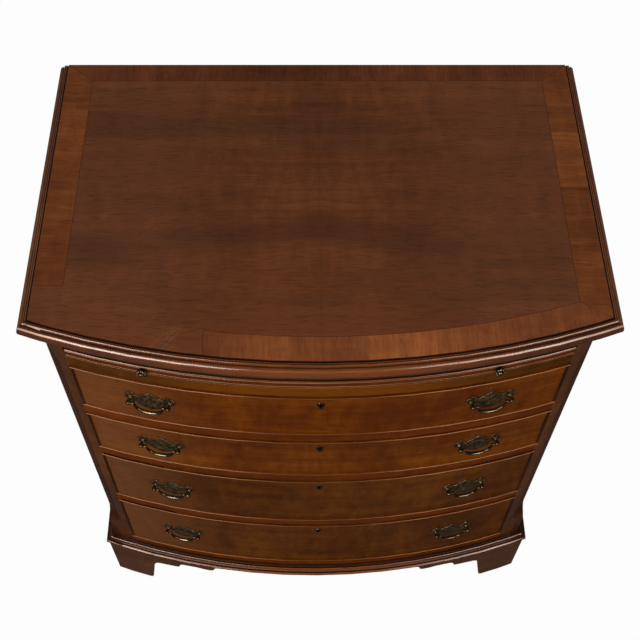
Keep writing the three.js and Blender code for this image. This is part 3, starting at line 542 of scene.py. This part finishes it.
post_wood = wood(
    "post_mahogany", "Z", (0.046, 0.0128, 0.0024), (0.074, 0.0212, 0.0036), (0.112, 0.034, 0.0055),
    shift=8.3)
side_wood = wood(
    "side_mahogany", "Z", (0.052, 0.014, 0.005), (0.092, 0.026, 0.007), (0.145, 0.045, 0.011),
    figure=1.2, shift=9.5)
oak_y = wood("oak_lining_grain_y", "Y", *OAK_COLOURS, shift=10.1, **BARE_OAK)
oak_x = wood("oak_lining_grain_x", "X", *OAK_COLOURS, shift=11.6, **BARE_OAK)
pine_z = wood(
    "pine_boards", "Z", (0.15, 0.085, 0.04), (0.24, 0.145, 0.07), (0.33, 0.215, 0.115),
    shine=0.75, coat=0.0, shift=12.9)
# Eased arrises: rubbed pale, and painted with the highlight that a rounded edge catches.
rubbed_and_highlit = wood(
    "rubbed_and_highlit_arris", "X", (0.2, 0.07, 0.02), (0.32, 0.125, 0.045), (0.46, 0.2, 0.08),
    shine=0.3, coat=0.5, shift=13.7, relief=0.03)
# Bead crowns: worn pale, with a painted highlight that grows towards the ends.
crown_worn_and_highlit = wood(
    "bead_crown_worn_and_highlit", "X", (0.11, 0.037, 0.008), (0.17, 0.06, 0.014), (0.25, 0.095, 0.026),
    bowed=True, marks_and_light=highlit_ends, shine=0.3, coat=0.3, shift=13.1, relief=0.03)
# Dark wax and painted shade, for sunk, cut and shaded places.
shadow_wood = wood(
    "painted_shade_and_wax", "X", (0.01, 0.004, 0.002), (0.018, 0.006, 0.003), (0.032, 0.01, 0.004),
    shine=0.6, coat=0.0, shift=14.9, specular=0.03, relief=0.02)
print("materials so far", len(bpy.data.materials))

# %% [markdown]
# ## Old brass
# The fittings are cast brass that has gone brown under old lacquer and polish. Fingers keep the
# high places bright, so the castings have a dark brass with patches of olive and brown, and a
# rubbed one for the rounded edges. The flat plates are duller and browner, with a bright rim all
# round.

# %% Brass
def old_brass(name, stops, rough_base, mottling):
    t = Tree(bpy.data.materials.new(name))
    place = t.add("TexCoord").outputs["Object"]
    patch = t.noise(place, 170.0, 4.0, 0.6)
    fine = t.noise(place, 900.0, 3.0, 0.6)
    colour = t.ramp(patch, stops)
    darkest = tuple(v * 0.3 for v in stops[0][1])
    colour = t.mix(t.span(fine, 0.55, 0.75, 0.0, mottling), colour, darkest)
    rough = t.plus(t.times(patch, 0.25), rough_base)
    bump = t.add("Bump", {"Strength": 0.3, "Distance": 0.0003, "Height": fine})
    shader = t.add("BsdfPrincipled", {"Base Color": colour, "Roughness": rough,
                                      "Normal": bump.outputs[0], "Metallic": 1})
    t.add("OutputMaterial", {"Surface": shader.outputs[0]})
    return t.owner


brass = old_brass("brass_patina", [
    (0.35, (0.075, 0.044, 0.021)), (0.52, (0.15, 0.095, 0.045)), (0.72, (0.26, 0.175, 0.085)),
], rough_base=0.18, mottling=0.6)
plate_brass = old_brass("plate_patina", [
    (0.38, (0.1, 0.055, 0.024)), (0.52, (0.22, 0.13, 0.058)), (0.66, (0.42, 0.275, 0.135)),
], rough_base=0.36, mottling=0.6)
plate_rim = old_brass("plate_rim", [
    (0.35, (0.3, 0.21, 0.12)), (0.52, (0.5, 0.38, 0.24)), (0.72, (0.75, 0.62, 0.42)),
], rough_base=0.24, mottling=0.3)
bright_brass = old_brass("brass_rubbed", [
    (0.35, (0.14, 0.105, 0.06)), (0.52, (0.26, 0.2, 0.12)), (0.72, (0.44, 0.36, 0.23)),
], rough_base=0.1, mottling=0.3)
print("brass ready")

# %% [markdown]
# ## Dressing the CAD parts
# A flat, hidden or plain board keeps its CAD shape and only takes its wood.

# %% Woods for the boards that stay
def give(obj, *materials):
    obj.data.materials.clear()
    for material in materials:
        obj.data.materials.append(material)


for name in ("side_left", "side_right"):
    give(nodes[name], side_wood)
for number in range(1, 5):
    for side in ("left", "right"):
        give(nodes[f"drawer_{number}_side_{side}"], oak_y)
    give(nodes[f"drawer_{number}_back"], oak_x)
    give(nodes[f"drawer_{number}_bottom"], oak_y)
print("plain boards dressed")

# %% [markdown]
# The bowed parts come out of CAD in flat facets. A copy is merged, its triangles dissolved into
# clean faces, its sharp arrises eased by a fraction of a millimetre, as scraping and two centuries
# of dusting do, and the rest shaded smooth. The eased strip takes the last of the woods given, a
# paler one, where the colour has been rubbed away and which also paints the highlight along the
# arris. The copy then stands for the CAD part. A moulding's `run` of narrow strips is kept as
# strips, so that each one can take its own wood.

# %% Smooth copies of the bowed parts
def body_of(node):
    for body, names in frame["record"]["behaviour"]["bodies"].items():
        if node in names:
            return body


SHARP_ARRIS, ONE_STRIP, ONE_FACET = math.radians(50), math.radians(2), math.radians(0.6)


def smooth_copy(node, materials, ease=0.0, smooth=46, run=False, name=None):
    obj = add_object(name or node + "_polished", nodes[node].data.copy())
    give(obj, *materials)
    for face in obj.data.polygons:
        face.material_index = 0
    with edit(obj):
        bpy.ops.mesh.remove_doubles(threshold=0.00001)
        if run:
            bpy.ops.mesh.tris_convert_to_quads(face_threshold=ONE_STRIP, shape_threshold=math.pi)
        else:
            bpy.ops.mesh.dissolve_limited(angle_limit=ONE_FACET)
    if ease:
        apply_modifier(obj, "BEVEL", width=ease, segments=2, limit_method="ANGLE",
                       angle_limit=SHARP_ARRIS, material=len(materials) - 1)
    shade_smooth(obj, smooth)
    apply_modifier(obj, "WEIGHTED_NORMAL", keep_sharp=True)
    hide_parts(node)
    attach(obj, body_of(node))
    return obj


# The top rail takes the darker bracket wood, as painted shade under the nose of the top.
smooth_copy("top_rail", [bracket_x, rubbed_and_highlit])
for node in ("divider_slide", "divider_1", "divider_2", "divider_3", "bottom_board"):
    rail = golden_rail if node == "divider_slide" else rail_wood
    piece = smooth_copy(node, [rail, rubbed_and_highlit], ease=0.0004)
    print(piece.name, len(piece.data.polygons), "faces")

# %% [markdown]
# The slide's upper edge slopes back under the top and is painted dark, as painted shade under the
# top's nose. The arris in front of it is rubbed each time the slide is drawn, and its pale wood
# also paints the highlight along it.

# %% Slide
def reach(point):
    """How far a point lies from the axis of the bow."""
    return math.hypot(point.x, BOW_AXIS_Y - point.y)


def mean_out(obj, face):
    """How far a face lies outside the top's field, to the front or to an end."""
    corners = [obj.data.vertices[index].co for index in face.vertices]
    outs = [max(abs(corner.x) - FIELD_HALF, reach(corner) - BOW_RADIUS) for corner in corners]
    return sum(outs) / len(outs)


def faces_by_wood(obj):
    used = [face.material_index for face in obj.data.polygons]
    return [used.count(index) for index in range(len(obj.data.materials))]


SLOPE_FROM, SLOPE_TO, SLOPE_LIT_ARRIS = -0.008, -0.0006, -0.0016
slide = smooth_copy("slide_board", [slide_wood, shadow_wood, nose_worn_and_highlit, rubbed_and_highlit], ease=0.0005)
slide_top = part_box("slide_board")[1][2]
for face in slide.data.polygons:
    out = mean_out(slide, face)
    # Painted shade on the sloping edge, and a pale painted highlight on the arris in front.
    if face.normal.z > 0.1 and face.center.z > slide_top - 0.008 and SLOPE_FROM < out < SLOPE_TO:
        face.material_index = 1 if out < SLOPE_LIT_ARRIS else 2
print("slide", faces_by_wood(slide))

# %% [markdown]
# The flutes of the corner posts were cut with a scratch stock, and wax has gathered in them since.
# The faces that lie deeper than the canted corner take the dark wood, for that wax and as painted
# shade in the flutes.

# %% Fluted posts
CANT = Vector((0.8, -0.6, 0))
FLUTE_SHALLOW, FLUTE_DEEP = 0.0012, 0.0045
FLUTE_LOW_Z, FLUTE_HIGH_Z = 0.26, 0.86


def along_cant(vector):
    return Vector((abs(vector.x), vector.y, 0)).dot(CANT)


for side in ("left", "right"):
    post = smooth_copy(f"corner_post_{side}", [post_wood, shadow_wood], smooth=34)
    canted = [face for face in post.data.polygons if along_cant(face.normal) > 0.99]
    cant_level = along_cant(max(canted, key=lambda face: face.area).center)
    for face in post.data.polygons:
        in_flute = FLUTE_SHALLOW < cant_level - along_cant(face.center) < FLUTE_DEEP
        small_upright = face.area < 0.002 and abs(face.normal.z) < 0.5
        # Flute faces: dark wood for wax and painted shade.
        if in_flute and small_upright and FLUTE_LOW_Z < face.center.z < FLUTE_HIGH_Z:
            face.material_index = 1
    print(post.name, faces_by_wood(post)[1], "faces in the flutes")

# %% [markdown]
# ## The veneered top
# The top is a quiet field of two matched leaves, whose grain runs from side to side and mirrors
# itself about a joint down the middle, framed by crossbanding: short lengths of lighter veneer
# laid with their grain pointing out to the edge. The bands meet in mitres, except at the front
# left, where an old repair in wood of the field's own colour fills the corner. The flat top face
# is inset once to draw the frame, and its inner corners are moved to the bands' true widths.

# %% Draw the frame of bands
BAND_SIDE, BAND_FRONT, BAND_REAR = 0.042, 0.038, 0.036
BUTT_Y = FRONT_CORNER_Y + 0.057
INNER_X = FIELD_HALF - BAND_SIDE


def on_top(face):
    return face.normal.z > 0.9 and face.center.z > TOP_Z - 0.0001


top = smooth_copy("top_panel", [rubbed_and_highlit], name="top_veneers")
pick(top, on_top)
with edit(top, None):
    bpy.ops.mesh.inset(thickness=BAND_FRONT, use_even_offset=True, use_boundary=True)
field_face = max((face for face in top.data.polygons if on_top(face)), key=lambda face: face.area)
INNER_Y = BOW_AXIS_Y - math.sqrt((BOW_RADIUS - BAND_FRONT) ** 2 - INNER_X ** 2)
for index in field_face.vertices:
    vertex = top.data.vertices[index]
    if abs(vertex.co.x) > INNER_X - 0.001:
        vertex.co.x = math.copysign(INNER_X, vertex.co.x)
        vertex.co.y = max(vertex.co.y, INNER_Y) if vertex.co.y > 0 else INNER_Y
    if vertex.co.y > REAR_Y - 0.05:
        vertex.co.y = REAR_Y - BAND_REAR
with edit(top):
    bpy.ops.mesh.remove_doubles(threshold=0.0001)
print("top faces", len(top.data.polygons))

# %% [markdown]
# The grain of a crossband runs across it, so one length can be no longer than its board was wide,
# and each band is made of several, butted together. The front band ends where the repair begins.

# %% Cut the bands into lengths
SIDE_JOINTS = {-1: (-0.03, 0.09, 0.19), 1: (-0.09, 0.03, 0.14)}
CROSS_JOINTS = {
    "rear": (-0.26, -0.1, 0.07, 0.21),
    "front": (-0.27, -0.16, -0.045, 0.062, 0.155, 0.27),
}
REPAIR_X = -0.16


def depth_of(point):
    return BOW_RADIUS - reach(point)


def band_of(face):
    if not on_top(face):
        return "edge"
    point = face.center
    if point.x < -INNER_X and point.y < BUTT_Y:
        return "corner"
    if depth_of(point) < BAND_FRONT * 0.99 and abs(point.x) < INNER_X + 0.03:
        return "corner" if point.x < REPAIR_X else "front"
    if point.y > REAR_Y - BAND_REAR:
        return "rear"
    return "side" if abs(point.x) > INNER_X else "field"


def cut(test, place, normal):
    pick(top, lambda face: on_top(face) and test(face))
    with edit(top, None):
        bpy.ops.mesh.bisect(plane_co=place, plane_no=normal)


ACROSS_X, ACROSS_Y = (1, 0, 0), (0, 1, 0)
cut(lambda face: face.center.x < -INNER_X and band_of(face) != "rear", (0, BUTT_Y, 0), ACROSS_Y)
cut(lambda face: (face.center.x < -0.3 and face.center.y < BUTT_Y
                  and depth_of(face.center) < BAND_FRONT), (-INNER_X, 0, 0), ACROSS_X)
for hand, joints in SIDE_JOINTS.items():
    for y in joints:
        cut(lambda face: face.center.x * hand > INNER_X and band_of(face) == "side",
            (0, y, 0), ACROSS_Y)
for band, joints in CROSS_JOINTS.items():
    for x in joints:
        cut(lambda face: band_of(face) == band, (x, 0, 0), ACROSS_X)
used = [band_of(face) for face in top.data.polygons]
print({band: used.count(band) for band in sorted(set(used))})

# %% [markdown]
# Each length of band was cut from another place, so a number kept on its faces, its tone, moves
# the pattern and makes it a little lighter or darker. The field is warmer towards the middle of
# the front and redder at the sides, has a few slow dark stains along the grain, and carries fine
# pale scratches near its front left corner. The polish on the top is thin and calm, so no lamp
# shows in it.

# %% Veneers
SCRATCHED = (-0.225, -0.235, TOP_Z)


def field_marks(t, place, colour, pattern):
    near_middle = t.span(t.off_centre(place), 0.3, 0.05)
    warm = t.times(t.span(t.axes(place)[1], 0.0, -0.24), near_middle)
    colour = t.mix(t.times(warm, 0.6), colour, (0.195, 0.056, 0.0175))
    sides = t.times(t.span(t.off_centre(place), 0.1, 0.26), 0.38)
    colour = t.mix(sides, colour, (0.19, 0.062, 0.0265))
    stain = t.noise(t.vector("MULTIPLY", place, (0.34, 1.9, 1.0)), 5.5, 4.0, 0.6)
    stain = t.times(t.span(stain, 0.47, 0.66), 0.42)
    colour = t.mix(stain, colour, (0.064, 0.0255, 0.013))
    marks = t.span(t.distance(t.vector("SUBTRACT", place, SCRATCHED)), 0.05, 0.02, 0.0, 0.2)
    for turn, scale in ((0.5, 280.0), (-0.9, 340.0)):
        way = t.add("Mapping", {"Vector": place, "Rotation": (0, 0, turn)}).outputs[0]
        thin = t.noise(t.vector("MULTIPLY", way, (0.045, 1.0, 1.0)), scale, 0.0)
        scratch = t.times(t.span(thin, 0.69, 0.73), marks)
        colour = t.mix(scratch, colour, (0.3, 0.16, 0.09))
    return colour


def front_glow(t, place, colour, pattern):
    x = t.axes(place)[0]
    pale = t.times(t.span(x, -0.22, -0.02), t.span(x, 0.36, 0.14, 0.35, 1.0))
    deep = [(0.38, (0.09, 0.024, 0.009)), (0.53, (0.15, 0.041, 0.0135)),
            (0.68, (0.215, 0.062, 0.0185))]
    return t.mix(pale, t.ramp(pattern.level, deep), colour)


CALM = {"shine": 0.4, "coat": 0.06, "specular": 0.04}
bands = {
    "field": wood(
        "top_field", "X", (0.078, 0.0225, 0.0088), (0.122, 0.0345, 0.012), (0.172, 0.052, 0.0165),
        joint=0.0, marks_and_light=field_marks, figure=1.15, shift=0.7, **CALM),
    "corner": wood(
        "top_corner", "X", (0.082, 0.024, 0.0098), (0.128, 0.0365, 0.013), (0.178, 0.053, 0.0175),
        marks_and_light=field_marks, shift=1.9, **CALM),
    "side": wood(
        "side_crossband", "X", (0.115, 0.03, 0.008), (0.178, 0.05, 0.0125), (0.262, 0.078, 0.019),
        toned=True, shift=1.3, **CALM),
    "rear": wood(
        "rear_crossband", "Y", (0.08, 0.0215, 0.008), (0.122, 0.0335, 0.0115), (0.175, 0.05, 0.015),
        toned=True, shift=1.1, **CALM),
    "front": wood(
        "front_crossband", "Y", (0.19, 0.053, 0.016), (0.285, 0.082, 0.0235), (0.4, 0.128, 0.036),
        toned=True, marks_and_light=front_glow, shift=2.1, **CALM),
    "edge": rubbed_and_highlit,
    "glue": wood(
        "glue_line", "X", (0.012, 0.004, 0.003), (0.018, 0.006, 0.004), (0.026, 0.009, 0.006),
        coat=0.0, shift=2.9),
}
give(top, *bands.values())
order = list(bands)
RIGHT_SIDE = 3  # added on the right, taken off on the left: keeps the joints of the sides apart
side_joints = [hand * RIGHT_SIDE + y for hand, joints in SIDE_JOINTS.items() for y in joints]
tone = top.data.attributes.new("tone", "FLOAT", "FACE")
for face in top.data.polygons:
    band = band_of(face)
    face.material_index = order.index(band)
    along = face.center.y + math.copysign(RIGHT_SIDE, face.center.x)
    if band in CROSS_JOINTS:
        along = face.center.x
    joints = CROSS_JOINTS.get(band, side_joints)
    piece_number = sum(along > joint for joint in joints) + 7 * order.index(band)
    tone.data[face.index].value = (piece_number * 0.618) % 1
print("veneer pieces", len({round(item.value, 3) for item in tone.data}))

# %% [markdown]
# A hair of dark glue shows along every joint between two woods, except where the repair runs into
# the field, whose colour it has. Those edges are bevelled flat, a quarter of a millimetre to each
# side, and the strip that this makes takes the glue's colour.

# %% Glue lines
GLUE_HALF = 0.00025
with edit(top, "DESELECT"):
    bpy.ops.mesh.select_mode(type="EDGE")
between = {}
for face in top.data.polygons:
    if on_top(face):
        for key in face.edge_keys:
            between.setdefault(key, set()).add(face.material_index)
plain_pair = {order.index("field"), order.index("corner")}
glued = {key for key, used in between.items() if len(used) == 2 and used != plain_pair}
for edge in top.data.edges:
    edge.select = tuple(sorted(edge.vertices)) in glued
with edit(top, None):
    bpy.ops.mesh.bevel(offset=GLUE_HALF, segments=1, affect="EDGES",
                       material=order.index("glue"))
only(top)
bpy.ops.mesh.customdata_custom_splitnormals_clear()
bpy.ops.object.shade_flat()
print("glue faces", faces_by_wood(top)[-1])

# %% [markdown]
# ## Drawer fronts and their cock beads
# Each front is veneered, and a thin bead stands proud all round it. The bead is a rounded strip
# of solid wood that keeps the veneer's edge from chipping. Handling has worn its crown pale, so
# the crown's faces, which lie further out than the veneer, take a pale wood that also paints the
# highlight along the crown, brighter towards the ends. The upright beads at the ends take the dark
# wood as painted shade from the gaps beside them, and the flat top of the upper bead is darker
# too. The inner face of the front is oak. The second front is veneered in two leaves.

# %% Drawer fronts
BEAD_FOOT, BEAD_CROWN, FRONT_INNER = 0.0003, 0.0022, -0.012
for number, wood_used in enumerate((front_wood, jointed_wood, lower_wood, lower_wood), 1):
    node = f"drawer_{number}_front"
    piece = smooth_copy(node, [wood_used, crown_worn_and_highlit, oak_x, deep_wood], smooth=62)
    front_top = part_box(node)[1][2]
    for face in piece.data.polygons:
        heights = [piece.data.vertices[index].co.z for index in face.vertices]
        end_bead = max(heights) - min(heights) > 0.03 and abs(face.center.x) > 0.34
        upper_ledge = face.normal.z > 0.8 and face.center.z > front_top - 0.0006
        out = reach(face.center) - FACE_RADIUS
        # End beads: painted shade from the gaps beside them. The bead's flat top is darker too.
        if out > BEAD_FOOT and (end_bead or upper_ledge):
            face.material_index = 3
        elif out > BEAD_CROWN:
            face.material_index = 1
        elif out < FRONT_INNER and abs(face.normal.z) < 0.5:
            face.material_index = 2
    print(piece.name, faces_by_wood(piece)[1], "crown faces")

# %% [markdown]
# ## Mouldings
# The top's edge and the base moulding are runs of one section each, mitred at the corners. The
# grain runs from side to side along the front and from front to back along the ends, so the faces
# choose between two woods. The ends of the top's moulding have a paler wood of their own. The sunk
# parts take a dark wood for wax and painted shade, and the undersides take it as painted shade. Two
# narrow bands along each front take the nose's wood, rubbed pale and painted with a highlight
# towards the ends.

# %% Mouldings
# For each moulding: the wood of its ends, the smoothing angle, the dark bands (wax and painted
# shade) and the rubbed, highlit bands across its section, by how far they lie outside the top's
# field, in metres.
MOULDINGS = {
    "top_moulding": (top_end_wood, 38, ((0.0004, 0.0026), (0.0045, 0.0051)),
                     ((0.0055, 0.007), (0.013, 0.014))),
    "base_moulding": (edge_wood_y, 50, ((-0.001, 0.0049), (0.0105, 0.013)),
                      ((0.0062, 0.0073), (0.0146, 0.0154))),
}


def within(out, runs):
    return any(inner < out < outer for inner, outer in runs)


for node, (end_wood, smooth, dark_runs, rubbed_and_highlit_runs) in MOULDINGS.items():
    moulding_woods = [edge_wood_x, end_wood, deep_wood, nose_worn_and_highlit]
    piece = smooth_copy(node, moulding_woods, smooth=smooth, run=True)
    for face in piece.data.polygons:
        out = mean_out(piece, face)
        at_end = abs(face.center.x) - FIELD_HALF > reach(face.center) - BOW_RADIUS
        face.material_index = int(at_end)
        # Dark: wax and painted shade. Rubbed: pale wear and a painted highlight.
        if face.normal.z < -0.3 or within(out, dark_runs):
            face.material_index = 2
        elif not at_end and face.normal.z > -0.04 and within(out, rubbed_and_highlit_runs):
            face.material_index = 3
    print(piece.name, faces_by_wood(piece))

# %% [markdown]
# ## Brackets
# The bracket feet and the apron between them are fretted out of thin board, and their cut edges
# take the dark wood, darker than the faces.

# %% Brackets
for side, wood_used, out_axis in (
    ("front", bracket_x, 1), ("left", bracket_y, 0), ("right", bracket_y, 0),
):
    bracket_woods = [wood_used, shadow_wood, rubbed_and_highlit]
    piece = smooth_copy(f"apron_{side}", bracket_woods, ease=0.0006, smooth=40)
    for face in piece.data.polygons:
        cut_edge = abs(face.normal[out_axis]) < 0.25 and face.normal.z < 0.5
        if face.material_index == 0 and cut_edge:
            face.material_index = 1
    print(piece.name, faces_by_wood(piece)[1], "cut faces")

# %% [markdown]
# ## The back
# The back is never seen in a room, so it is plain boards, left from the saw and nailed up side by
# side. One board is made from a cube, its edges are chamfered, and five copies stand beside it.

# %% Back boards
BOARDS, BOARD_GAP = 6, 0.0008
back_low, back_high = (Vector(corner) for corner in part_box("back_panel"))
back_size = back_high - back_low
board_width = back_size.x / BOARDS
deselect()
bpy.ops.mesh.primitive_cube_add(size=1)
board = bpy.context.object
board.scale = (board_width - BOARD_GAP, back_size.y, back_size.z)
board.location = (back_low + back_high) / 2
board.location.x = back_low.x + board_width / 2
settle(board)
apply_modifier(board, "BEVEL", width=0.0012, segments=1, limit_method="ANGLE")
give(board, pine_z)
boards = [board]
for index in range(1, BOARDS):
    copy = own_copy(board)
    copy.location.x = index * board_width
    settle(copy)
    boards.append(copy)
for index, obj in enumerate(boards):
    obj.name = f"back_board_{index + 1}"
    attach(obj, "carcase")
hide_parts("back_panel")
print(len(boards), "boards of", round(board_width * 1000), "mm")

# %% [markdown]
# ## Handles: the back plate
# A swan-necked bail hangs in front of a fretted plate. The plate is cut from sheet to an outline
# that is the same left and right: a pointed crest, two shoulders, lobed ends and a long pointed
# drop. A circle of vertices is pulled to that outline, extruded to its thickness, and its rim
# filed to a chamfer that keeps a bright edge. Vertical cuts then let the plate bend to the bow of
# the drawer.

# %% Back plate
PLATE_HALF, PLATE_CREST, PLATE_TALL = 0.039, 0.0215, 0.051
BEND_STEP = 0.005
PLATE_OUTLINE = [  # across, and down from the crest, as shares of the half width and the height
    (0, 0), (0.07, 0.065), (0.2, 0.14), (0.36, 0.235), (0.46, 0.3), (0.52, 0.29), (0.58, 0.22),
    (0.645, 0.155), (0.715, 0.12), (0.78, 0.142), (0.812, 0.21), (0.885, 0.235), (0.945, 0.29),
    (0.935, 0.37), (1, 0.45), (0.955, 0.535), (0.85, 0.56), (0.77, 0.65), (0.655, 0.692),
    (0.54, 0.715), (0.436, 0.8), (0.256, 0.905), (0.1, 0.945), (0, 1),
]
half = [(x * PLATE_HALF, 0, PLATE_CREST - down * PLATE_TALL) for x, down in PLATE_OUTLINE]
ring = half + [(-x, 0, z) for x, _, z in reversed(half[1:-1])]


def cast_flat(name, outline, thick, rim, *brasses):
    """A flat casting: a circle of vertices pulled to an outline, thickened, its rim filed."""
    deselect()
    bpy.ops.mesh.primitive_circle_add(vertices=len(outline), fill_type="NGON")
    obj = bpy.context.object
    obj.name = name
    for vertex, place in zip(obj.data.vertices, outline):
        vertex.co = place
    with edit(obj):
        bpy.ops.mesh.extrude_region_move(TRANSFORM_OT_translate={"value": (0, -thick, 0)})
        bpy.ops.mesh.select_all(action="SELECT")
        bpy.ops.mesh.normals_make_consistent(inside=False)
    give(obj, *brasses)
    apply_modifier(obj, "BEVEL", width=rim, segments=2, limit_method="ANGLE",
                   angle_limit=math.radians(60), material=1)
    return obj


plate = cast_flat("plate_pattern", ring, 0.0018, 0.0007, plate_brass, plate_rim)
with edit(plate):
    for step in range(-7, 8):
        bpy.ops.mesh.select_all(action="SELECT")
        bpy.ops.mesh.bisect(plane_co=(step * BEND_STEP, 0, 0), plane_no=ACROSS_X)
for vertex in plate.data.vertices:
    vertex.co.y += vertex.co.x ** 2 / (2 * FACE_RADIUS)
shade_smooth(plate, 35)
print("plate", len(plate.data.polygons), "faces")

# %% [markdown]
# ## Handles: the posts
# Two turned posts pass through the plate: a flange, a thin neck and a ball that takes the bail's
# pin. They are spun from half sections.

# %% Posts
HALF_SPACING = 0.02975
POST_SECTION = [
    (0, 0.6), (5.0, 0.6), (5.0, 2.1), (4.6, 2.6), (3.4, 2.9), (3.2, 3.4), (2.3, 3.9), (2.0, 4.8),
    (2.0, 6.2), (2.7, 6.7), (2.7, 7.3), (3.1, 7.7), (3.6, 8.7), (3.9, 9.9), (3.95, 11.0),
    (3.7, 12.3), (3.1, 13.5), (2.2, 14.3), (1.1, 14.8), (0, 14.9),
]
posts = []
for end in (-1, 1):
    post = lathe("post_pattern", POST_SECTION)
    post.location.x = end * HALF_SPACING
    settle(post)
    give(post, brass, bright_brass)
    shade_smooth(post, 50)
    posts.append(post)
plate = join(plate, *posts)
print("plate with posts", len(plate.data.polygons), "faces")

# %% [markdown]
# ## Handles: the bail
# The bail is a swag of brass rod that swells towards the fingers. A curve with a thickness at each
# point gives it, and a turned bead and pin finish each end. Its lower front is rubbed bright.

# %% Bail
PIVOT_REACH = 0.0108
BAIL_PATH = [  # x, z and thickness along the left half, in millimetres
    (-22.6, 0.0, 1.6), (-21.9, -2.4, 1.7), (-21.4, -5.0, 1.9), (-20.4, -9.5, 2.15),
    (-18.3, -14.0, 2.4), (-15.0, -17.4, 2.7), (-11.0, -19.7, 2.9), (-6.0, -21.1, 3.05),
    (0.0, -21.6, 3.1),
]
path = BAIL_PATH + [(-x, z, r) for x, z, r in reversed(BAIL_PATH[:-1])]
deselect()
bpy.ops.curve.primitive_nurbs_path_add()
rod = bpy.context.object
rod.name = "bail_pattern"
spline = rod.data.splines[0]
spline.points.add(len(path) - len(spline.points))
for point, (x, z, r) in zip(spline.points, path):
    point.co = (x * MM, 0, z * MM, 1)
    point.radius = r
spline.order_u = 3
spline.use_endpoint_u = True
rod.data.resolution_u = 5
rod.data.bevel_depth = MM
rod.data.bevel_resolution = 3
rod.data.use_fill_caps = True
only(rod)
bpy.ops.object.convert(target="MESH")
END_SECTION = [
    (0, 28.4), (1.3, 28.4), (1.4, 28.2), (1.4, 25.6), (1.7, 25.3), (2.3, 25.1), (2.6, 24.3),
    (2.7, 23.0), (2.6, 21.8), (2.3, 21.0), (1.6, 20.7), (0, 20.6),
]
ends = [lathe("bead_pattern", [(r, hand * along) for r, along in END_SECTION], 18, "X")
        for hand in (-1, 1)]
bail = join(rod, *ends)
bail.location.y = -PIVOT_REACH
settle(bail)
give(bail, brass, bright_brass)
with edit(bail):
    bpy.ops.mesh.normals_make_consistent(inside=False)
shade_smooth(bail, 50)
for face in bail.data.polygons:
    low_front = face.center.z < -0.0165 and face.normal.y < -0.25 and face.normal.z > -0.5
    face.material_index = int(low_front)
print("bail", len(bail.data.polygons), "faces")

# %% [markdown]
# Every handle is the same casting, so the plate and the bail are copied to their eight places.
# Each copy has its own mesh, is turned to face squarely out of the bow, and is moved to the height
# of its posts, which the CAD plate gives.

# %% Hang the handles
HANDLE_X = 0.249
SINK = 0.0002


def hang(pattern, name, side, z, sink=0.0):
    copy = own_copy(pattern)
    copy.name = name
    face_y = BOW_AXIS_Y - math.sqrt(FACE_RADIUS ** 2 - HANDLE_X * HANDLE_X)
    copy.rotation_euler = (0, 0, side * math.asin(HANDLE_X / FACE_RADIUS))
    copy.location = (side * HANDLE_X, face_y + sink, z)
    settle(copy)
    return copy


for number in range(1, 5):
    for side, word in ((-1, "left"), (1, "right")):
        node = f"handle_{number}_{word}"
        post_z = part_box(node + "_plate")[1][2] - PLATE_CREST
        fitted = hang(plate, node + "_fitting", side, post_z, SINK)
        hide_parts(node + "_plate")
        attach(fitted, f"drawer_{number}")
        swing = hang(bail, node + "_swing", side, post_z, SINK)
        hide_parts(node + "_bail")
        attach(swing, f"bail_{number}_{word}")
for pattern in (plate, bail):
    bpy.data.objects.remove(pattern)
print("handles hung at", round(HANDLE_X * 1000), "mm either side")

# %% [markdown]
# ## Slide knobs
# The slide is drawn out by two small knobs cast as flowers. A circle of vertices is pulled into
# petals, thickened and rounded, a ring of grains is set on it, and a turned stem and button
# complete it.

# %% Knobs
PETALS, PETAL_DEPTH = 10, 0.0014
KNOB_RADIUS, KNOB_REAR, KNOB_FACE = 0.0082, 0.0044, 0.007
GRAIN_RING, GRAIN_RADIUS = 0.0062, 0.0012
STEM_SECTION = [
    (0, -0.4), (5.2, -0.4), (5.2, 0.9), (4.4, 1.3), (2.7, 1.9), (2.4, 3.6), (2.8, 4.6), (4.0, 6.9),
    (4.4, 7.4), (4.3, 8.2), (3.6, 9.3), (2.3, 10.3), (1.0, 10.9), (0, 11.0),
]
star = []
for index in range(6 * PETALS):
    angle = 2 * math.pi * index / (6 * PETALS)
    radius = KNOB_RADIUS - PETAL_DEPTH * (1 - abs(math.sin(angle * PETALS / 2)) ** 0.7)
    star.append((radius * math.cos(angle), -KNOB_REAR, radius * math.sin(angle)))
knob = cast_flat("knob_pattern", star, 0.0026, 0.0008, brass, bright_brass)
grains = []
for index in range(PETALS):
    angle = 2 * math.pi * (index + 0.5) / PETALS
    spot = (GRAIN_RING * math.cos(angle), -KNOB_FACE, GRAIN_RING * math.sin(angle))
    deselect()
    bpy.ops.mesh.primitive_uv_sphere_add(segments=10, ring_count=6, radius=GRAIN_RADIUS,
                                         location=spot)
    grain = bpy.context.object
    give(grain, bright_brass)
    settle(grain)
    grains.append(grain)
stem = lathe("stem_pattern", STEM_SECTION)
give(stem, brass)
knob = join(knob, stem, *grains)
shade_smooth(knob, 45)
for side, word in ((-1, "left"), (1, "right")):
    box_low, box_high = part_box(f"slide_knob_{word}")
    piece = hang(knob, f"slide_knob_{word}_flower", side, (box_low[2] + box_high[2]) / 2)
    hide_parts(f"slide_knob_{word}")
    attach(piece, "slide")
bpy.data.objects.remove(knob)
print("knobs set")

# %% [markdown]
# ## Keyholes
# Each drawer locks, and its keyhole is lined with a thin cast shield, its rim rubbed by the key.

# %% Escutcheons
for number in range(1, 5):
    node = f"escutcheon_{number}"
    piece = smooth_copy(node, [brass, bright_brass], ease=0.0003, smooth=40, name=node + "_rim")
    print(piece.name, len(piece.data.polygons), "faces")
